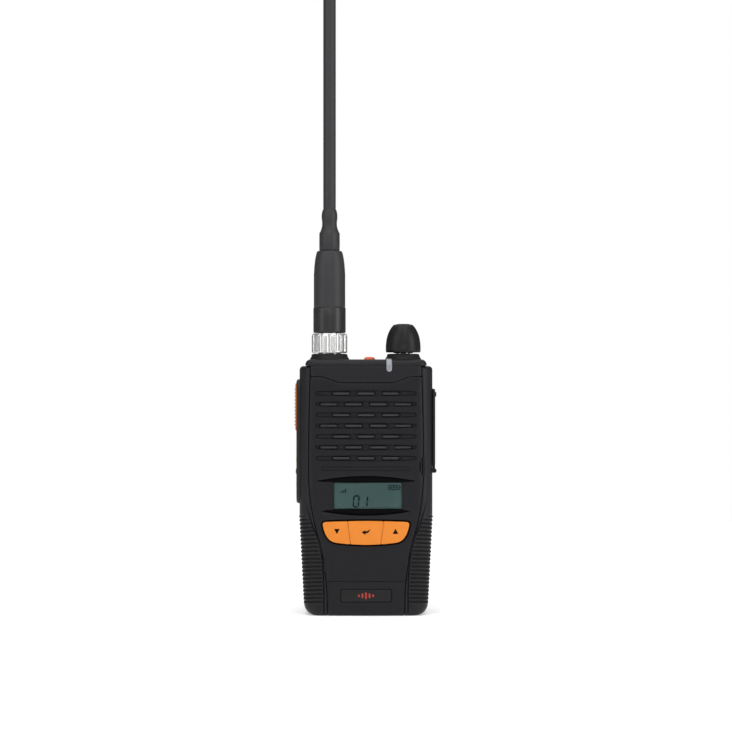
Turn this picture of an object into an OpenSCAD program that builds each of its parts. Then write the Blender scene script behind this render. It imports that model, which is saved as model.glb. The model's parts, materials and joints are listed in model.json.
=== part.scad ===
// Handheld two-way radio with a whip antenna, a belt clip and a battery that comes off.
// Millimetres. X runs to the right, the front faces -Y and Z is up.
// The origin is the middle of the flat base that the radio stands on.

/* [Body] */
// Width across the upper side rails
body_w = 56.2; // [55.8:0.1:56.6]
// Width where the lower corners begin
foot_w = 52.4; // [51.6:0.1:53.2]
// Height of the flat top
body_h = 108; // [107.8:0.1:108.4]
// Distance from the origin to the crown of the front face
front_d = 18; // [17.9:0.05:18.2]
// How far the front face bows forward in the middle
crown = 1; // [0.8:0.05:1.2]
// Radius of the upright front corners
corner_r = 7; // [6.5:0.1:7.4]
// Radius of the lower side corners
foot_r = 5; // [4:0.1:6]
// Height at which the sides stop tapering
taper_z = 42; // [38:0.5:46]
// Thickness of the moulded side grips
skin_t = 1; // [0.9:0.05:1.1]
// Thickness of the housing walls under the grips
wall_t = 1.6; // [1.4:0.05:1.7]
// Thickness of the top cap
cap_t = 2.8; // [2.6:0.1:3]
// Width of the top cap, which stands between the rails
cap_w = 51.2; // [50.8:0.1:51.6]
// Radius of the rails' upper ends
rail_r = 1.6; // [1.2:0.1:2]

/* [Grip ribs] */
// Height of the lowest groove
rib_z = 5.6; // [5:0.1:6.5]
// Distance from one groove to the next
rib_pitch = 1.65; // [1.5:0.01:1.7]
// Number of grooves on each side
rib_count = 22; // [16:1:22]
// Depth of each groove
rib_depth = 0.35; // [0.2:0.01:0.5]

/* [Speaker grille] */
// Height of the lowest row of slots
grille_z = 66.4; // [66:0.1:67]
// Distance between rows
row_pitch = 4.55; // [4.3:0.01:4.6]
// Number of rows
row_count = 7; // [5:2:7]
// Length of each slot
slot_l = 8.1; // [6:0.1:9]
// Height of each slot
slot_h = 2; // [1.2:0.1:2.4]
// Distance between the slots of one row
slot_pitch = 10.5; // [9.8:0.1:10.8]
// Radius of the speaker
speaker_r = 18; // [16:0.1:18.4]
// Height of the speaker's axis
speaker_z = 80; // [79:0.5:81]

/* [Display and keys] */
// Width of the visible part of the display
lcd_w = 29.2; // [26:0.1:30]
// Height of the visible part of the display
lcd_h = 11.3; // [10:0.1:12]
// Middle of the display, to the right of the centre line
lcd_x = 0.8; // [0:0.1:1]
// Height of the middle of the display
lcd_z = 50.65; // [50:0.05:51]
// Travel of the three front keys
key_travel = 0.6; // [0.3:0.05:0.7]
// How far the front keys stand out of the front face
key_proud = 0.6; // [0.4:0.05:0.8]

/* [Top controls] */
// Distance from the centre line to the antenna's axis
antenna_x = 15.5; // [15:0.1:15.8]
// Distance from the centre line to the volume knob's axis
knob_x = 15.8; // [15:0.1:15.8]
// Place of the alarm button's axis
alarm_x = 1.5; // [0:0.1:2.5]
// Radius of the alarm button
alarm_r = 2.3; // [1.9:0.1:2.6]
// Travel of the alarm button
alarm_travel = 0.8; // [0.4:0.05:0.9]
// Radius of the foot of the volume knob
knob_r = 7.4; // [6.6:0.1:7.6]

/* [Antenna] */
// Height of the antenna's tip above the base
tip_z = 360; // [250:1:420]
// Radius of the flexible whip
whip_r = 2.67; // [2:0.01:3]
// Radius of the moulded foot of the antenna
mast_r = 6.67; // [6.2:0.01:6.8]
// Radius of the coupling nut
nut_r = 7.6; // [7:0.05:7.6]
// Number of flutes round the coupling nut
nut_flutes = 12; // [8:1:14]

/* [Side keys] */
// Travel of the transmit button
ptt_travel = 1.2; // [0.6:0.1:1.2]
// Travel of the two small side keys
side_travel = 0.8; // [0.4:0.1:0.9]
// How far the transmit button stands out of the bezel
ptt_proud = 0.65; // [0.4:0.05:0.8]

/* [Battery and clip] */
// Width of the battery
battery_w = 51; // [49:0.1:51]
// Height of the battery
battery_h = 90; // [89:0.1:90]
// Gap behind the battery that the belt goes in
belt_gap = 6.2; // [5:0.1:7]
// Travel of the battery latch
latch_travel = 3; // [1.5:0.1:3]

/* [Hidden] */
$fn = 48;

// Colours of the real finishes
charcoal = [0.19, 0.18, 0.2];
rail_black = [0.17, 0.16, 0.18];
soft_black = [0.11, 0.11, 0.12];
orange = [0.96, 0.56, 0.2];
alarm_red = [0.85, 0.28, 0.12];
nickel = [0.79, 0.79, 0.79];
gold = [0.83, 0.69, 0.36];
board_green = [0.1, 0.35, 0.2];
steel = [0.62, 0.63, 0.65];
lcd_green = [0.3, 0.42, 0.4];
clear_grey = [0.6, 0.62, 0.65];

// A small overlap that keeps cuts from ending on a face
eps = 0.02;
// Clearance round each part that slides
gap = 0.3;

half_w = body_w / 2;
split_y = -1.4;
gasket_t = 0.4;
chassis_y = split_y + gasket_t;
chassis_back = 6;
cavity_y = 3 - front_d;
cavity_t = skin_t + wall_t;
cap_z = body_h - cap_t;
control_y = -6;
shoulder_z = 91;
shoulder_back = 17;

board_y = -5;
board_t = 1.2;
lid_y = chassis_back + 0.3;
lid_t = 2;
case_y = lid_y + lid_t;
case_back = 18.5;
case_wall = 1.6;

screw_spots = [[21.8, 11], [-21.8, 11], [22.8, 100.3], [-22.8, 100.3]];
contact_xs = [-6, 0, 6];
contact_z = 20;

// ---- Outlines ----

// Points along an arc, with both of its ends
function arc(cx, cy, r, a0, a1, n = 6) =
    [for (i = [0:n]) let (a = a0 + (a1 - a0) * i / n) [cx + r * cos(a), cy + r * sin(a)]];

// Points along a curve from a to c that is pulled towards b, with both ends
function bend(a, b, c, n = 6) =
    [for (i = [0:n]) let (t = i / n) (1 - t) * (1 - t) * a + 2 * t * (1 - t) * b + t * t * c];

// A list without its first and last points
function inner(pts) = [for (i = [1:len(pts) - 2]) pts[i]];

// The same outline on the other side of the centre line, in the opposite order
function flipped(pts) = [for (i = [len(pts) - 1:-1:0]) [-pts[i][0], pts[i][1]]];

// A rectangle with round corners, from its middle
function round_box(cx, cy, w, h, r) = concat(
    arc(cx + w / 2 - r, cy + h / 2 - r, r, 0, 90, 5),
    arc(cx - w / 2 + r, cy + h / 2 - r, r, 90, 180, 5),
    arc(cx - w / 2 + r, cy - h / 2 + r, r, 180, 270, 5),
    arc(cx + w / 2 - r, cy - h / 2 + r, r, 270, 360, 5));

// The body seen from above, shrunk by t and cut off at a back plane
function body_section(t, back) =
    let (
        r = corner_r - t,
        cx = half_w - corner_r,
        cy = crown + corner_r - front_d,
        bow = bend([cx, cy - r], [0, cy - r - 2 * crown], [-cx, cy - r], 10)
    )
    concat(
        [[half_w - t, back]],
        arc(cx, cy, r, 0, -90),
        inner(bow),
        arc(-cx, cy, r, -90, -180),
        [[t - half_w, back]]);

// The right half of the body seen from the front, from the base up, shrunk by t
function half_outline(t, open_top = false) = concat(
    arc(foot_w / 2 - foot_r, foot_r, foot_r - t, -90, 0),
    [[half_w - t, taper_z]],
    open_top ? [[half_w - t, body_h + 1]] : arc(half_w - rail_r, cap_z - rail_r, rail_r - t, 0, 90));

// The same outline with both halves
function outline(t, open_top = false) =
    concat(half_outline(t, open_top), flipped(half_outline(t, open_top)));

// The body seen from the side, shrunk by t
function body_profile(t, back) = concat(
    [[back, t]],
    arc(3 - front_d, 3, 3 - t, -90, -180),
    arc(2.5 - front_d, body_h - 2.5, 2.5 - t, 180, 90),
    [[back, body_h - t]]);

// The edge of the middle panel on the right, from the base up
panel_edge = concat(
    [[16.2, -1], [16.3, 8]],
    inner(bend([16.3, 8], [17.0, 22], [19.7, 32], 5)),
    inner(bend([19.7, 32], [23.4, 43], [24.2, 57], 5)),
    [[24.2, 70], [23.2, 110]]);

// The three front keys together, with their middle at the height keys_z
keys_z = 35.3;
keys_half_w = 18.2;
keys_half_h = 5.5;
keys_outline = concat(
    bend([17.2, 40.3], [18.3, 40.2], [18.2, 39], 4),
    inner(bend([18.2, 39], [17.4, 31.5], [12.5, 30.5], 8)),
    bend([12.5, 30.5], [0, 29.1], [-12.5, 30.5], 8),
    inner(bend([-12.5, 30.5], [-17.4, 31.5], [-18.2, 39], 8)),
    bend([-18.2, 39], [-18.3, 40.2], [-17.2, 40.3], 4),
    inner(bend([-17.2, 40.3], [0, 40.9], [17.2, 40.3], 8)));

// The key outline grown by g on every side
function grown_keys(g) = [for (p = keys_outline)
    [p[0] * (1 + g / keys_half_w), keys_z + (p[1] - keys_z) * (1 + g / keys_half_h)]];

// ---- Ways to stand an outline up ----

// Draws an outline given in X and Z, from y0 back to y1
module front_plate(y0, y1) {
    translate([0, y1, 0]) rotate([90, 0, 0]) linear_extrude(y1 - y0) children();
}

// Draws an outline given in Y and Z, from x0 to x1
module side_plate(x0, x1) {
    translate([x0, 0, 0]) rotate([90, 0, 90]) linear_extrude(x1 - x0) children();
}

// A round bar along Y
module bar_y(x, z, r, y0, y1) {
    translate([x, y0, z]) rotate([-90, 0, 0]) cylinder(r = r, h = y1 - y0);
}

// A round bar along X
module bar_x(y, z, r, x0, x1) {
    translate([x0, y, z]) rotate([0, 90, 0]) cylinder(r = r, h = x1 - x0);
}

// A block between two corners
module block(a, b) {
    translate(a) cube(b - a);
}

// A round bar along Z
module post(x, y, r, z0, z1) {
    translate([x, y, z0]) cylinder(r = r, h = z1 - z0);
}

// A coil spring of round wire along Z, with its foot at the origin
module coil(coil_r, wire_r, turns, height, steps = 10, sides = 6) {
    count = turns * steps;
    points = [for (i = [0:count], k = [0:sides - 1])
        let (a = 360 * i / steps, b = 360 * k / sides, r = coil_r + wire_r * cos(b))
        [r * cos(a), r * sin(a), wire_r + (height - 2 * wire_r) * i / count + wire_r * sin(b)]];
    skin = [for (i = [0:count - 1], k = [0:sides - 1], half = [0, 1])
        let (a = i * sides, b = a + sides, m = (k + 1) % sides)
        half == 0 ? [a + k, a + m, b + m] : [a + k, b + m, b + k]];
    foot = [for (k = [sides - 1:-1:0]) k];
    head = [for (k = [0:sides - 1]) count * sides + k];
    polyhedron(points = points, faces = concat([foot], skin, [head]), convexity = 10);
}

// ---- The body's own forms ----

// The outer form of the body in front of the back plane, shrunk by t
module body_form(t, back) {
    intersection() {
        linear_extrude(body_h + 1) polygon(body_section(t, back));
        front_plate(-front_d - 1, back + 1) polygon(outline(t));
        side_plate(-half_w - 1, half_w + 1) polygon(body_profile(t, back));
    }
}

// The middle panel's share of the body, as seen from the front
module panel_column(back) {
    front_plate(-front_d - 1, back) polygon(concat(panel_edge, flipped(panel_edge)));
}

// The hollow inside the front housing, open at the back and the top
module housing_cavity() {
    r = corner_r - cavity_t;
    cx = half_w - corner_r;
    intersection() {
        linear_extrude(body_h + 1) polygon(concat(
            [[half_w - cavity_t, 1]],
            arc(cx, cavity_y + r, r, 0, -90),
            arc(-cx, cavity_y + r, r, -90, -180),
            [[cavity_t - half_w, 1]]));
        front_plate(-front_d, 1) polygon(outline(cavity_t, true));
    }
}

// Everything above the seam under the top cap
module above_cap_seam() {
    block([-40, -40, cap_z], [40, 40, body_h + 10]);
}

// The middles of all the slots of the grille, as x and z
grille_slots = [for (row = [0:row_count - 1])
    let (n = row % 2 == 0 ? 3 : 4)
    for (i = [0:n - 1]) [(i - (n - 1) / 2) * slot_pitch, grille_z + row * row_pitch]];

// The long shallow dip that one row of slots lies in
module row_dip(z) {
    front_plate(-front_d - 1, cavity_y - 0.5) polygon(concat(
        bend([21.1, z + 0.95], [0, z + 1.65], [-21.1, z + 0.95], 8),
        bend([-21.1, z - 0.95], [0, z - 1.65], [21.1, z - 0.95], 8)));
}

// The scoop over the display, with a dark crescent above and below it
module display_scoop() {
    lens_y = 1.4 - front_d;
    linear_left = lcd_x - lcd_w / 2;
    linear_right = lcd_x + lcd_w / 2;
    intersection() {
        linear_extrude(body_h) polygon([
            [-21, -front_d - 1], [-21, 1.05 - front_d], [linear_left, lens_y],
            [linear_right, lens_y], [21, 1.05 - front_d], [21, -front_d - 1]]);
        block([-22, -front_d - 1, lcd_z - lcd_h / 2], [22, 0, lcd_z + lcd_h / 2]);
    }
    front_plate(-front_d - 1, lens_y) polygon(concat(
        [[-20.5, lcd_z + lcd_h / 2]],
        [[20.5, lcd_z + lcd_h / 2]],
        inner(bend([20.5, 56.4], [0, 61.6], [-20.5, 56.4], 8))));
    front_plate(-front_d - 1, lens_y) polygon(concat(
        [[19.1, lcd_z - lcd_h / 2]],
        [[-19.1, lcd_z - lcd_h / 2]],
        inner(bend([-19.1, 44.9], [0, 39.6], [19.1, 44.9], 8))));
}

// ---- Housing ----

module front_housing() color(charcoal) difference() {
    union() {
        body_form(skin_t, split_y);
        intersection() {
            body_form(0, split_y);
            panel_column(split_y);
        }
    }
    difference() {
        housing_cavity();
        for (s = screw_spots) bar_y(s[0], s[1], 2.2, cavity_y - 1, split_y);
    }
    above_cap_seam();
    for (s = screw_spots) bar_y(s[0], s[1], 1, -9, split_y + 1);
    for (s = grille_slots) front_plate(-front_d - 1, cavity_y + 1)
        polygon(round_box(s[0], s[1], slot_l, slot_h, slot_h / 2 - 0.01));
    difference() {
        for (row = [0:row_count - 1]) row_dip(grille_z + row * row_pitch);
        body_form(0.4, split_y);
    }
    difference() {
        front_plate(-front_d - 1, -front_d + 2) polygon(round_box(0, 62, 37.2, 1.8, 0.6));
        front_plate(-front_d - 2, -front_d + 3) polygon(round_box(0, 62, 36.4, 1.0, 0.3));
        body_form(0.3, split_y);
    }
    display_scoop();
    block([lcd_x - lcd_w / 2, -front_d - 1, lcd_z - lcd_h / 2],
        [lcd_x + lcd_w / 2, cavity_y + 1, lcd_z + lcd_h / 2]);
    front_plate(-front_d - 1, cavity_y + 1) polygon(grown_keys(0.3));
    front_plate(-front_d - 1, 1 - front_d) polygon(round_box(0, 8.7, 21.6, 5.65, 1.2));
    block([-30, -front_d - 1, 14.5], [30, 0.4 - front_d, 14.9]);
    mic_notch();
    led_slot();
    side_plate(-half_w - 1, -half_w + 6) polygon(round_box(-7, 73.8, 8.6, 50.2, 3));
    block([half_w - 6, -10.2, 70.5], [half_w + 1, -2.8, 91]);
}

// The pocket on the right edge of the panel that lets sound in to the microphone
module mic_notch() {
    front_plate(-front_d - 1, 2 - front_d)
        polygon([[22.4, 60.2], [24.9, 59], [24.9, 66.5], [22.4, 65.6]]);
    bar_y(22.6, 62.6, 0.6, -front_d, cavity_y + 2);
}

// The slot for the light at the front edge of the top
module led_slot() {
    front_plate(-front_d - 1, cavity_y + 0.7) polygon(concat(
        arc(9.75, 103.95, 1.45, 180, 360, 8),
        [[11.2, body_h + 1], [8.3, body_h + 1]]));
}

module top_cap() color(charcoal) difference() {
    intersection() {
        linear_extrude(body_h) polygon(body_section(0, chassis_back));
        side_plate(-half_w, half_w) polygon(body_profile(0, chassis_back));
        front_plate(-front_d - 1, chassis_back + 1) polygon(round_box(0, body_h - 10, cap_w, 20, 1.8));
        above_cap_seam();
    }
    post(-antenna_x, control_y, 4.8, cap_z - 1, body_h + 1);
    post(knob_x, control_y, 3.6, cap_z - 1, body_h + 1);
    post(alarm_x, control_y, alarm_r + 0.1, cap_z - 1, body_h + 1);
    led_slot();
}

// Half of the moulded side skin, on the side that side is positive or negative for
module grip(side) {
    low_region = [[24.6, 41.6], [30, 43.4], [30, 5], [17.7, 5], [17.9, 16], [19.5, 29], [21.6, 36.3]];
    difference() {
        body_form(0, split_y);
        body_form(skin_t, split_y + 1);
        panel_column(split_y + 2);
        above_cap_seam();
        block([side > 0 ? -40 : 0, -40, -1], [side > 0 ? 0 : 40, 40, body_h]);
        difference() {
            intersection() {
                front_plate(-front_d - 1, 1)
                    polygon([for (p = low_region) [side * p[0], p[1]]]);
                for (i = [0:rib_count - 1])
                    block([-40, -30, rib_z + i * rib_pitch], [40, 1, rib_z + i * rib_pitch + 0.8]);
            }
            body_form(rib_depth, split_y + 2);
        }
        if (side > 0) mic_notch();
    }
}

module left_grip() color(rail_black) difference() {
    grip(-1);
    side_plate(-half_w - 1, -half_w + 3) polygon(round_box(-7, 73.6, 10, 52.2, 4));
}

module right_grip() color(rail_black) difference() {
    grip(1);
    side_plate(half_w - 3, half_w + 1) polygon(round_box(-7, 76.9, 9.2, 34.2, 2.2));
}

// The back of the radio, with a shoulder above the battery
module rear_chassis() color(soft_black) difference() {
    union() {
        front_plate(chassis_y, chassis_back) polygon(outline(0));
        side_plate(-25.5, 25.5) polygon(shoulder_outline(0));
    }
    difference() {
        front_plate(chassis_y - 1, chassis_back - case_wall)
            polygon(outline(cavity_t, true));
        for (s = screw_spots) bar_y(s[0], s[1], 2.4, chassis_y, chassis_back);
    }
    side_plate(-23.5, 23.5) polygon(shoulder_outline(2.2));
    for (s = screw_spots) {
        bar_y(s[0], s[1], 1.1, chassis_y - 1, chassis_back);
        bar_y(s[0], s[1], 2.1, 4.6, chassis_back + 1);
    }
    for (x = contact_xs) bar_y(x, contact_z, 0.9, chassis_back - 3, chassis_back + 1);
    block([-3.3, 15.1, shoulder_z - 1], [3.3, shoulder_back + 1, 93.1]);
    block([-40, -40, cap_z], [40, chassis_back, body_h]);
}

// The shoulder seen from the side, shrunk by t
function shoulder_outline(t) = concat(
    [[chassis_back - eps - t, shoulder_z + t], [shoulder_back - t, shoulder_z + t]],
    bend([shoulder_back - t, 98 - t], [shoulder_back - t, 104.5 - t], [chassis_back - eps - t, 107 - t], 8));

module housing_gasket() color("dimgray") difference() {
    front_plate(split_y, chassis_y) polygon(outline(1.2));
    front_plate(split_y - 1, chassis_y + 1) polygon(outline(2.1, true));
}

module housing_screws() color(steel) for (s = screw_spots) difference() {
    union() {
        bar_y(s[0], s[1], 1, -8, 4.6 + eps);
        bar_y(s[0], s[1], 1.9, 4.6, 5.8);
    }
    translate([s[0], 5.1, s[1]]) rotate([-90, 0, 0]) cylinder(r = 1.1, h = 2, $fn = 6);
}

// ---- Speaker and microphone ----

module speaker_mesh() color("gray")
    front_plate(cavity_y, cavity_y + 0.2) polygon(round_box(0, 80, 41.8, 31.4, 3));

// Turns a profile of radius and depth about the speaker's axis
module speaker_turn(profile) {
    translate([0, cavity_y + 0.2, speaker_z]) rotate([-90, 0, 0])
        rotate_extrude($fn = 64) polygon(profile);
}

module speaker_frame() color(steel) speaker_turn([
    [speaker_r - 1.4, 0], [speaker_r, 0], [speaker_r, 1.6], [9.8, 4.4], [9.8, 5.2],
    [4, 5.2], [4, 4.4], [9, 4.4], [speaker_r - 1.4, 1.5]]);

module speaker_cone() color(soft_black) speaker_turn([
    [0, 2.4], [3.9, 3], [speaker_r - 2.6, 0.5], [speaker_r - 1.4, 0.5],
    [speaker_r - 1.4, 0.9], [speaker_r - 2.5, 0.9], [3.9, 3.4], [0, 2.8]]);

module speaker_magnet() color("darkgray") speaker_turn([[0, 5.2], [8, 5.2], [8, 8.2], [0, 8.2]]);

module microphone() color(steel) bar_y(20.6, 62.6, 2.5, cavity_y + 1.3, cavity_y + 3);

// ---- Display ----

module display_window() color(clear_grey) {
    block([lcd_x - lcd_w / 2, 1.4 - front_d, lcd_z - lcd_h / 2],
        [lcd_x + lcd_w / 2, cavity_y + eps, lcd_z + lcd_h / 2]);
    block([lcd_x - lcd_w / 2 - 1.5, cavity_y, lcd_z - lcd_h / 2 - 1.2],
        [lcd_x + lcd_w / 2 + 1.5, cavity_y + 0.6, lcd_z + lcd_h / 2 + 1.2]);
}

module lcd_panel() color(lcd_green)
    block([lcd_x - lcd_w / 2 - 1.8, cavity_y + 0.6, lcd_z - 7.2],
        [lcd_x + lcd_w / 2 + 1.8, cavity_y + 3.6, lcd_z + 7.4]);

// ---- Front keys ----

key_back = cavity_y + 0.65;
mat_y = key_back + key_travel + 0.1;

// One key: the part of the whole strip between two slanting cuts
module front_key(left_top, left_low, right_top, right_low) {
    column = [[left_low, 26], [right_low, 26], [right_top, 44], [left_top, 44]];
    front_plate(-front_d - key_proud, key_back) intersection() {
        polygon(keys_outline);
        polygon(column);
    }
    front_plate(cavity_y + 0.15, key_back) intersection() {
        polygon(grown_keys(1));
        polygon(column);
    }
}

// The cuts between the keys lean inwards towards the bottom
module down_key() color(orange) front_key(-30, -30, -8.5, -6);

module enter_key() color(orange) front_key(-8.2, -5.7, 8.2, 5.7);

module up_key() color(orange) front_key(8.5, 6, 30, 30);

module key_mat() color("dimgray")
    front_plate(mat_y, mat_y + 0.6) polygon(round_box(0, 35.2, 40, 13.2, 2));

module keypad_board() color(board_green) {
    front_plate(mat_y + 0.9, mat_y + 1.9) polygon(round_box(0, 35.2, 40, 13.2, 1));
    for (x = [-12.2, 0, 12.2]) bar_y(x, 35.4, 2.5, mat_y + 0.62, mat_y + 0.9 + eps);
}

module badge_plate() color([0.18, 0.18, 0.19])
    front_plate(0.3 - front_d, 1 - front_d) polygon(round_box(0, 8.7, 21.1, 5.15, 1));

// ---- Electronics ----

module main_board() color(board_green) {
    front_plate(board_y, board_y + board_t) polygon([
        [-20.5, 15], [22, 15], [22, 64], [13, 64], [13, 94], [9, 96], [5, 96], [5, 98.7],
        [-2, 98.7], [-2, 96], [-20.5, 96]]);
    block([-12, board_y + board_t - eps, 30], [0, board_y + board_t + 1.4, 42]);
    block([4, board_y + board_t - eps, 26], [12, board_y + board_t + 1.2, 34]);
    block([-14, board_y + board_t - eps, 70], [-4, board_y + board_t + 1.8, 80]);
}

module rf_shield() color(steel) difference() {
    block([-18, board_y - 3.4, 18], [18, board_y, 58]);
    block([-17.7, board_y - 3.1, 18.3], [17.7, board_y + 1, 57.7]);
}

module radio_contacts() color(gold)
    for (x = contact_xs) bar_y(x, contact_z, 0.8, board_y + board_t, chassis_back + 0.2);

// ---- Controls on the top ----

module antenna_socket() color(nickel) translate([-antenna_x, control_y, 0]) {
    rotate_extrude() polygon([
        [0, 99], [1.2, 99], [1.2, 101], [4.7, 101], [4.7, 103], [6.5, 103], [6.5, cap_z],
        [4.7, cap_z], [4.7, 110.4], [4.8, 110.4], [4.8, 115.8], [4.15, 115.8], [4.15, 110.8],
        [1.6, 110.8], [1.6, 114.5], [0.5, 114.5], [0.5, 111.5], [0, 111.5]]);
    for (side = [-1, 1]) bar_x(0, 114.2, 0.7, side > 0 ? 4.4 : -5.5, side > 0 ? 5.5 : -4.4);
}

module panel_nuts() color(nickel) {
    difference() {
        translate([-antenna_x, control_y, body_h]) cylinder(r = 5.8, h = 2, $fn = 6);
        post(-antenna_x, control_y, 4.7, body_h - 1, body_h + 3);
    }
    difference() {
        translate([knob_x, control_y, body_h]) cylinder(r = 5, h = 2, $fn = 6);
        post(knob_x, control_y, 3.5, body_h - 1, body_h + 3);
    }
}

// A low tapering ring that stands on the top cap
module collar(x, foot, head, hole) {
    translate([x, control_y, body_h]) rotate_extrude()
        polygon([[hole, 0], [foot, 0], [foot, 0.6], [head, 2.5], [hole, 2.5]]);
}

module antenna_collar() color(soft_black) collar(-antenna_x, 8.3, 7.6, 6);

module knob_collar() color(soft_black) collar(knob_x, 7.55, 6.85, 5.3);

module volume_control() color(steel) difference() {
    union() {
        block([knob_x - 5, control_y - 5, 96.8], [knob_x + 4.6, control_y + 5, cap_z]);
        post(knob_x, control_y, 3.5, cap_z - eps, body_h + 2.2);
    }
    post(knob_x, control_y, 3.05, 99, body_h + 3);
}

module volume_shaft() color(nickel) post(knob_x, control_y, 3, 99.3, 120);

module volume_knob() color(charcoal) translate([knob_x, control_y, 0]) difference() {
    rotate_extrude() polygon(concat(
        [[0, 110.6], [4.15, 110.6], [4.15, 111.5], [knob_r - 0.3, 111.5], [knob_r, 111.9]],
        bend([knob_r - 0.1, 113.6], [knob_r - 0.6, 120.8], [3.8, 123], 8),
        [[0, 123.1]]));
    post(0, 0, 3, 110, 120);
    for (i = [0:5]) rotate([0, 0, 60 * i + 30]) post(knob_r + 3.2, 0, 4, 112.4, 130);
}

alarm_switch_z = 102.2;

module alarm_button() color(alarm_red) {
    stem_z = alarm_switch_z + alarm_travel + 0.1;
    translate([alarm_x, control_y, 0]) rotate_extrude() polygon(concat(
        [[0, stem_z], [1, stem_z], [1, 104], [alarm_r + 0.7, 104], [alarm_r + 0.7, cap_z - gap]],
        [[alarm_r, cap_z - gap], [alarm_r, body_h + 0.3]],
        inner(bend([alarm_r, body_h + 0.3], [alarm_r - 0.3, body_h + 1], [0, body_h + 1.1], 5)),
        [[0, body_h + 1.1]]));
}

module alarm_switch() color("dimgray") {
    block([alarm_x - 3, control_y - 3, 99.7], [alarm_x + 3, control_y + 3, 101.6]);
    post(alarm_x, control_y, 1.2, 101.6 - eps, alarm_switch_z);
    block([-4, control_y - 4, 98.7], [7, control_y + 4.5, 99.7 + eps]);
}

module led_lens() color(clear_grey)
    front_plate(-front_d - 0.2, cavity_y + 0.5) polygon(concat(
        arc(9.75, 103.95, 1.25, 180, 360, 8),
        arc(9.75, 107.7, 1.25, 45, 135, 4)));

// ---- Side keys on the left ----

bezel_x = -half_w + skin_t;
bezel_face = -half_w - 1.35;
switch_x = bezel_x + 2.9;
ptt_z = 87.8;
ptt_l = 20.2;
upper_key_z = 65.6;
upper_key_l = 3.6;
lower_key_z = 55.7;
lower_key_l = 3.2;
side_y = -7;

// One side key with a flange behind the bezel and a stud that faces its switch
module side_key(z, length, width, proud, travel) {
    r = min(width, length) / 2 - 0.3;
    side_plate(bezel_face - proud, bezel_x + 1) polygon(round_box(side_y, z, width, length, r));
    side_plate(bezel_x + gap, bezel_x + 1.3)
        polygon(round_box(side_y, z, width + 0.9, length + 0.9, r));
    bar_x(side_y, z, 1.1, bezel_x + 1.2, switch_x - travel - 0.1);
}

// The way through the bezel for one side key
module side_key_window(z, length, width) {
    side_plate(bezel_face - 1, bezel_x + 1)
        polygon(round_box(side_y, z, width + 0.3, length + 0.3, min(width, length) / 2 - 0.2));
}

module side_bezel() color(soft_black) difference() {
    side_plate(bezel_face, bezel_x) polygon(round_box(side_y, 73.6, 9.9, 52.1, 4));
    side_key_window(ptt_z, ptt_l, 6.8);
    side_key_window(upper_key_z, upper_key_l, 6);
    side_key_window(lower_key_z, lower_key_l, 6);
}

module ptt_button() color(orange) difference() {
    side_key(ptt_z, ptt_l, 6.8, ptt_proud, ptt_travel);
    for (i = [-4:4]) block([-40, -8.6, ptt_z + 1.5 * i - 0.3],
        [bezel_face - ptt_proud + 0.25, -5.4, ptt_z + 1.5 * i + 0.3]);
}

module upper_side_key() color(orange)
    side_key(upper_key_z, upper_key_l, 6, 0.1, side_travel);

module lower_side_key() color(orange)
    side_key(lower_key_z, lower_key_l, 6, 0.1, side_travel);

module side_switches() color("dimgray") {
    block([switch_x + 1, side_y - 4, 50], [switch_x + 1.8, side_y + 4, 97]);
    for (z = [ptt_z, upper_key_z, lower_key_z]) {
        block([switch_x + 0.4, side_y - 2.2, z - 2.2], [switch_x + 1 + eps, side_y + 2.2, z + 2.2]);
        bar_x(side_y, z, 1, switch_x, switch_x + 0.5);
    }
}

// ---- Accessory jacks on the right ----

jack_y = -6.5;
large_jack_z = 87;
small_jack_z = 75;
jack_mouth = half_w - skin_t - 0.05;
plate_x = half_w - skin_t;
hinge_x = half_w + 0.9;
hinge_z = 60.9;

// One round jack along X, closed at its inner end
module jack(z, outer_r, bore_r) {
    difference() {
        bar_x(jack_y, z, outer_r, jack_mouth - 13, jack_mouth);
        bar_x(jack_y, z, bore_r, jack_mouth - 12, jack_mouth + 1);
    }
}

module large_jack() color(soft_black) jack(large_jack_z, 2.9, 1.8);

module small_jack() color(soft_black) jack(small_jack_z, 2.4, 1.3);

module jack_plate() color(soft_black) difference() {
    union() {
        side_plate(plate_x, half_w) polygon(round_box(-7, 76.9, 9.2, 34.2, 2.2));
        for (y = [-11.5, -3.7]) {
            translate([hinge_x, y, hinge_z]) rotate([-90, 0, 0]) cylinder(r = 0.85, h = 1.2);
            block([half_w - 0.1, y, hinge_z - 0.85], [hinge_x, y + 1.2, hinge_z + 0.85]);
        }
    }
    bar_y(hinge_x, hinge_z, 0.55, -12, -1);
    bar_x(jack_y, large_jack_z, 2.3, plate_x - 1, half_w + 1);
    bar_x(jack_y, small_jack_z, 1.8, plate_x - 1, half_w + 1);
}

module jack_cover() color(soft_black) {
    side_plate(half_w + 0.05, half_w + 1.2) polygon(round_box(-7, 78.9, 10, 33.4, 2.5));
    block([half_w + 1.15, -9.2, 92], [half_w + 1.7, -4.8, 94.2]);
    block([half_w + 0.3, -10.1, hinge_z], [half_w + 1.2, -3.9, 63]);
    bar_y(hinge_x, hinge_z, 0.85, -10.1, -3.9);
    bar_y(hinge_x, hinge_z, 0.5, -11.3, -2.7);
}

// ---- Battery ----

// The battery's outer form, shrunk by t, between two planes across Y
module battery_form(t, y0, y1) {
    hw = battery_w / 2;
    intersection() {
        front_plate(y0, y1) polygon(round_box(0, battery_h / 2, battery_w - 2 * t, battery_h - 2 * t, 3));
        linear_extrude(battery_h) polygon(concat(
            [[hw - t, lid_y - 1]],
            arc(hw - 4, case_back - 4, 4 - t, 0, 90),
            arc(4 - hw, case_back - 4, 4 - t, 90, 180),
            [[t - hw, lid_y - 1]]));
    }
}

latch_z = 80;
latch_top = 89.5;
spring_y = 17.1;
spring_foot = latch_z - latch_travel - 0.4;

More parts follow.
